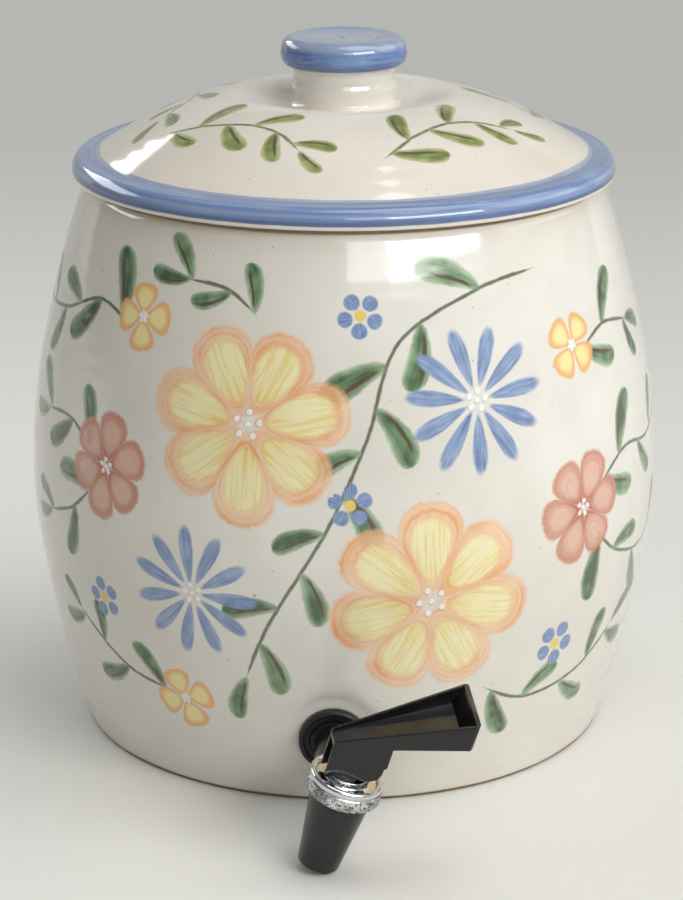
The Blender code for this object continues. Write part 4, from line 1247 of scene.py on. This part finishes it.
gloss_black = black_plastic("gloss_black", 0.17, tint(22, 22, 24), tint(34, 34, 37))
polished_black = black_plastic("polished_black", 0.1, tint(22, 22, 24), tint(34, 34, 37), 0.01 * MM)
satin_black = black_plastic("satin_black", 0.42, tint(25, 25, 27), tint(40, 40, 42))
rubber_black = black_plastic("rubber_black", 0.55, tint(30, 30, 31), tint(48, 48, 48), 0.04 * MM)

# %% [markdown]
# The bonnet is die-cast and chromed. Its band is cast with a pebbled grip, so the pebbles are real
# shape here: the band's rows are pushed in by a cell pattern, and the pits between them are dark. The
# outlines of the tap's turned pieces are written in millimetres and scaled when their line is joined.

# %% Outline of the bonnet
BONNET_FOOT, BAND, BONNET, EDGE = 13.0, 5.0, 15.4, 0.4
NECK_TOP = BONNET_FOOT + 3.0
CUP_RIM = 1.4
SEAM = GAP / MM
band_top = BONNET_FOOT + BAND
crest = band_top + 3.4
dish = crest - 2.0
boss = dish + 2.8
ring = BONNET - EDGE
under = NECK_TOP + SEAM + CUP_RIM + SEAM
bonnet_line = one_line(
    [(7.0, under), (12.7, under), (12.7, BONNET_FOOT), (BONNET - 0.5, BONNET_FOOT)],
    bow((BONNET - EDGE, BONNET_FOOT + EDGE), EDGE, -90, 0, 3),
    even_line([(BONNET, BONNET_FOOT + EDGE), (BONNET, band_top - EDGE)], 0.25),
    bow((BONNET - EDGE, band_top - EDGE), EDGE, 0, 80, 3),
    [(BONNET - 0.8, band_top + 0.1), (BONNET - 0.8, band_top + 0.35), (ring - 0.1, band_top + 0.8)],
    bow((ring - 1.3, crest - 1.3), 1.3, 0, 180, 14),
    [(ring - 2.6, dish + 0.5), (ring - 2.8, dish + 0.12), (ring - 3.2, dish), (9.5, dish)],
    [(8.9, dish + 0.2), (8.6, dish + 0.8), (8.4, boss - EDGE)],
    bow((8.0, boss - EDGE), EDGE, 0, 90, 3),
    [(4.0, boss), (3.75, boss - 0.25), (3.75, boss - 1.7), (7.0, boss - 1.7)],
    unit=MM,
)
print("the bonnet's outline has", len(bonnet_line), "points")

# %% Turn the bonnet


def pebble_band(grid):
    """Pushes pits into the band between cell centres that are spread evenly round it."""
    dice = np.random.default_rng(12)
    around, up = 88, 5
    a = (np.arange(around)[:, None] + dice.uniform(0.15, 0.85, (around, up))) * math.tau / around
    h = BONNET_FOOT + (np.arange(up)[None] + dice.uniform(0.15, 0.85, (around, up))) * BAND / up
    centres = np.column_stack([a.ravel() * BONNET, h.ravel()])
    z, radius, angle = polar(grid / MM)
    on_band = (z > BONNET_FOOT + 0.3) & (z < band_top - 0.2) & (radius > BONNET - 0.2)
    flat = np.stack([np.mod(angle, math.tau) * BONNET, z], axis=-1)[on_band]
    gaps = np.linalg.norm(flat[:, None] - centres[None], axis=2)
    first, second = np.partition(gaps, 1, axis=1)[:, :2].T
    deep = np.zeros_like(z)
    deep[on_band] = 0.24 * np.clip(1 - (second - first) / 0.5, 0, 1) + 0.10 * np.clip(first / 0.6, 0, 1)
    scale = 1 - deep / radius
    return grid * np.stack([scale, scale, np.ones_like(z)], axis=-1)


bonnet, _, _ = turned_piece("pebbled_bonnet", bonnet_line, 360, pebble_band)
own_height = bonnet.data.attributes.new("own_height", "FLOAT", "POINT")
own_height.data.foreach_set("value", [vertex.co.z for vertex in bonnet.data.vertices])
bonnet.data.transform(tap_frame)

# %% Material: chrome
chrome, tree, shader = new_material("pitted_chrome", 0.08, 1.0)
place = own_space(tree)
z = painted(tree, "own_height", "Fac")
near, chance = spots(place, 1200.0)
pits = near.rise(0.55, 0.3) * chance.rise(0.5, 0.58)
worn = cloud(place, 180.0, 3.0, 0.6).rise(0.42, 0.62)
BAND_FOOT, BAND_TOP = (0.0129, 0.0133), (0.0182, 0.0178)
band = z.rise(*BAND_FOOT) * z.rise(*BAND_TOP)
dull = (pits * (band * 0.9 + 0.12) + worn * band * 0.6).capped()
color = blend_color(dull, tint(222, 224, 227), tint(74, 70, 60))
height = cloud(place, 900.0, 2.0, 0.6) * band - pits * 0.5
feed_finish(tree, shader, color, dull * 0.3 + band * 0.12 + 0.06, height, 0.03 * MM)
dress(bonnet.data, chrome)
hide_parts("bonnet")
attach(bonnet, "crock")

# %% [markdown]
# The body is one moulding: a cone-shaped spout with a round bore, a neck that the bonnet screws over,
# and a shank with a collar. The spout and the shank are turned round two axes and joined as one mesh.
# Along the shank lie the collar, the outer washer, the pot's wall, the inner washer and the lock nut,
# each a seam apart.

# %% Turn the body
TIP = -21.6
SEAT_FLOOR = -7.0
spout_line = one_line(
    [(5.4, TIP + 13.8), (6.6, TIP + 1.2), (6.9, TIP + 0.25)],
    bow((7.3, TIP + 0.4), 0.4, 180, 270, 3),
    bow((8.1, TIP + 0.5), 0.5, -90, 0, 4),
    even_line([(8.6, TIP + 0.5), (12.62, 12.3)], 2.5),
    [(12.6, 12.62), (12.4, 12.72), (12.4, NECK_TOP), (9.4, NECK_TOP), (8.4, SEAT_FLOOR), (6.2, SEAT_FLOOR)],
    unit=MM,
)
body, _, _ = turned_piece("tap_spout", spout_line, 96)

# %% Turn the shank and join it to the spout
SHANK, SHANK_BORE, COLLAR, COLLAR_RADIUS = 8.0, 5.0, 1.7, 9.4
WASHER, WASHER_DISH, INNER_WASHER, LOCK_NUT, PROUD = 3.7, 1.5, 2.4, 8.0, 3.0
wall_front = PAD_REACH / MM
washer_front = wall_front - SEAM - WASHER
collar_back = washer_front + WASHER_DISH - SEAM
collar_front = collar_back - COLLAR
shank_end = wall_front + PAD_WALL / MM + SEAM + INNER_WASHER + SEAM + LOCK_NUT + PROUD
shank_line = one_line(
    [(SHANK_BORE, 9.6), (SHANK, 9.6), (SHANK, collar_front), (COLLAR_RADIUS - 0.3, collar_front)],
    [(COLLAR_RADIUS, collar_front + 0.3), (COLLAR_RADIUS, collar_back), (SHANK, collar_back)],
    [(SHANK, shank_end - 0.6), (SHANK - 0.6, shank_end), (SHANK_BORE, shank_end)],
    unit=MM,
)
shank, _, _ = turned_piece("tap_shank", shank_line, 64)
lay_back = Matrix.Rotation(math.radians(-90), 4, "X")
shank.data.transform(lay_back)
made = bmesh.new()
made.from_mesh(body.data)
made.from_mesh(shank.data)
made.to_mesh(body.data)
made.free()
bpy.data.objects.remove(shank)
body.name = "tap_body"
body.data.transform(tap_frame)
body.data.shade_smooth()
body.data.set_sharp_from_angle(angle=math.radians(40))
dress(body.data, gloss_black)
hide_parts("faucet_body")
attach(body, "crock")

# %% [markdown]
# The washer outside the pot has a raised round lip and a shallow dish, in which the shank's collar
# sits. It is turned round the shank's axis.

# %% Turn the outer washer
WASHER_BORE, WASHER_RADIUS, WASHER_LIP = SHANK + SEAM, 14.5, 1.2
dish_floor, washer_back = washer_front + WASHER_DISH, washer_front + WASHER
washer_line = one_line(
    [(WASHER_BORE, dish_floor), (11.0, dish_floor), (11.8, dish_floor - 0.15), (12.1, dish_floor - 0.5)],
    bow((WASHER_RADIUS - WASHER_LIP, washer_front + WASHER_LIP), WASHER_LIP, 180, 360, 14),
    [(WASHER_RADIUS, washer_back - 0.3), (WASHER_RADIUS - 0.3, washer_back), (WASHER_BORE, washer_back)],
    unit=MM,
)
washer, _, _ = turned_piece("dished_washer", washer_line, 120)
washer.data.transform(tap_frame @ lay_back)
dress(washer.data, satin_black)
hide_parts("outer_washer")
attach(washer, "crock")

# %% [markdown]
# The lever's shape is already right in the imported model, but the corners of its tip and all its edges
# are sharp. A copy of its mesh is cut by a tall prism with rounded corners, which takes off the two
# corners and nothing else. Then it is cleaned of its extra triangle edges.

# %% Draw the prism for the lever's tip
arm_turn = Matrix.Rotation(math.radians(7.6), 4, "Z")
lever_frame = Matrix.Translation(joints["lever_press"]["pos_m"]) @ tap_turn @ arm_turn
TIP_FACE, TIP_SIDE = 40.7 * MM, 16.3 * MM
ARM_SPREAD = math.radians(12.1)
CORNER_ROUND = 2.2 * MM
PRISM = 60 * MM
slack = 0.03 * MM
corner_x = TIP_FACE + slack - CORNER_ROUND
side_at_corner = TIP_SIDE - (TIP_FACE - corner_x) * math.tan(ARM_SPREAD)
corner_y = side_at_corner - (CORNER_ROUND - slack) / math.cos(ARM_SPREAD)
far_corner = bow((corner_x, corner_y), CORNER_ROUND, 0, 90 + math.degrees(ARM_SPREAD), 8)
outline = [*far_corner, (-PRISM, PRISM), (-PRISM, -PRISM), *(far_corner[::-1] * (1, -1))]
made = bmesh.new()
low_ring, high_ring = ([made.verts.new((x, y, z)) for x, y in outline] for z in (-PRISM, PRISM))
made.faces.new(low_ring[::-1])
made.faces.new(high_ring)
for at in range(len(outline)):
    made.faces.new((low_ring[at - 1], low_ring[at], high_ring[at], high_ring[at - 1]))
print("the prism has", len(made.faces), "faces")

# %% Cut the lever with the prism
prism_mesh = bpy.data.meshes.new("corner_prism")
made.to_mesh(prism_mesh)
made.free()
prism = bpy.data.objects.new("corner_prism", prism_mesh)
prism.matrix_world = lever_frame
lever = bpy.data.objects.new("pressed_lever", frame["nodes"]["lever"].data.copy())
for thing in (prism, lever):
    scene.collection.objects.link(thing)
cut = lever.modifiers.new("corners", "BOOLEAN")
cut.operation = "INTERSECT"
cut.object = prism
bpy.context.view_layer.update()
cut_lever = lever.evaluated_get(bpy.context.evaluated_depsgraph_get())
lever_mesh = bpy.data.meshes.new_from_object(cut_lever)
lever.modifiers.clear()
lever.data = lever_mesh
bpy.data.objects.remove(prism)
made = bmesh.new()
made.from_mesh(lever_mesh)
bmesh.ops.remove_doubles(made, verts=made.verts, dist=0.01 * MM)
bmesh.ops.dissolve_limit(made, angle_limit=math.radians(2), verts=made.verts, edges=made.edges)
open_edges = sum(len(edge.link_faces) != 2 for edge in made.edges)
print("lever has", len(made.faces), "faces,", open_edges, "open edges")
made.to_mesh(lever_mesh)
made.free()

# %% [markdown]
# A small Bevel then runs round every edge, as a mould would leave it. It catches thin bright lines.

# %% Soften the lever's edges
dress(lever_mesh, polished_black)
rounding = lever.modifiers.new("rounding", "BEVEL")
rounding.width = 0.45 * MM
rounding.segments = 3
rounding.limit_method = "ANGLE"
rounding.angle_limit = math.radians(35)
rounding.use_clamp_overlap = True
rounding.harden_normals = True
lever_mesh.shade_smooth()
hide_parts("lever")
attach(lever, "lever")

# %% [markdown]
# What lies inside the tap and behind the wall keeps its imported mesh, because it is small and mostly
# out of sight. It still gets its own finish: white plastic with a faint mottle, silicone, turned
# steel and rubber.

# %% Material: hidden pieces


def plain_piece(title, base, lift, roughness, metallic=0.0, scale=300.0):
    """A finish with a soft mottle in its colour and gloss."""
    material, tree, shader = new_material(title, roughness, metallic)
    place = own_space(tree)
    mottle = cloud(place, scale, 3.0, 0.6).rise(0.3, 0.7)
    feed_finish(tree, shader, blend_color(mottle, base, lift), mottle * 0.12 + roughness, mottle, 0.01 * MM)
    return material


hidden = {
    "stem": plain_piece("white_plastic", tint(222, 220, 210), tint(206, 202, 190), 0.3),
    "spring_washer": plain_piece("washer_steel", tint(196, 197, 198), tint(160, 160, 160), 0.25, 1.0, 600.0),
    "lever_pin": plain_piece("pin_steel", tint(200, 201, 202), tint(164, 164, 164), 0.2, 1.0, 700.0),
    "inner_washer": rubber_black,
    "lock_nut": satin_black,
}
for name, material in hidden.items():
    dress(frame["nodes"][name].data, material)
print("finishes on", len(hidden), "hidden pieces")

# %% [markdown]
# Two hidden pieces give way when the lever is pressed. The silicone cup's plug rises with the stem
# while its rim stays clamped under the bonnet, and the spring closes up against its washer. A soft piece
# has to be the scene's own. Here each is a copy of the imported mesh with its own finish, and nothing
# bends or flattens it.

# %% Copy the cup and the spring

def stand_in(title, node, material):
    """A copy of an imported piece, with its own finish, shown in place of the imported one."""
    piece = bpy.data.objects.new(title, frame["nodes"][node].data.copy())
    dress(piece.data, material)
    scene.collection.objects.link(piece)
    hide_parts(node)
    return piece


silicone = plain_piece("silicone", tint(214, 212, 204), tint(196, 194, 184), 0.4)
cup = stand_in("silicone_cup", "seat_cup", silicone)
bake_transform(cup)
spring_steel = plain_piece("spring_steel", tint(190, 191, 192), tint(150, 150, 150), 0.22, 1.0, 800.0)
coil = stand_in("steel_spring", "spring", spring_steel)
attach(coil, "crock")
coil_top, stroke, coil_length = tap_place + 19.19 * MM * spout_way, 2.0 * MM, 18.22 * MM
1 - stroke / coil_length
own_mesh(coil)
print("the spring keeps", round(1 - stroke / coil_length, 3), "of its length")

# %% [markdown]
# Last, the dressed object is measured beside the imported one.

# %% Measure and finish
visual_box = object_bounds()
for title, (low, high) in (("packed", cad_box), ("dressed", visual_box)):
    print(title, [round(b - a, 4) for a, b in zip(low, high)])
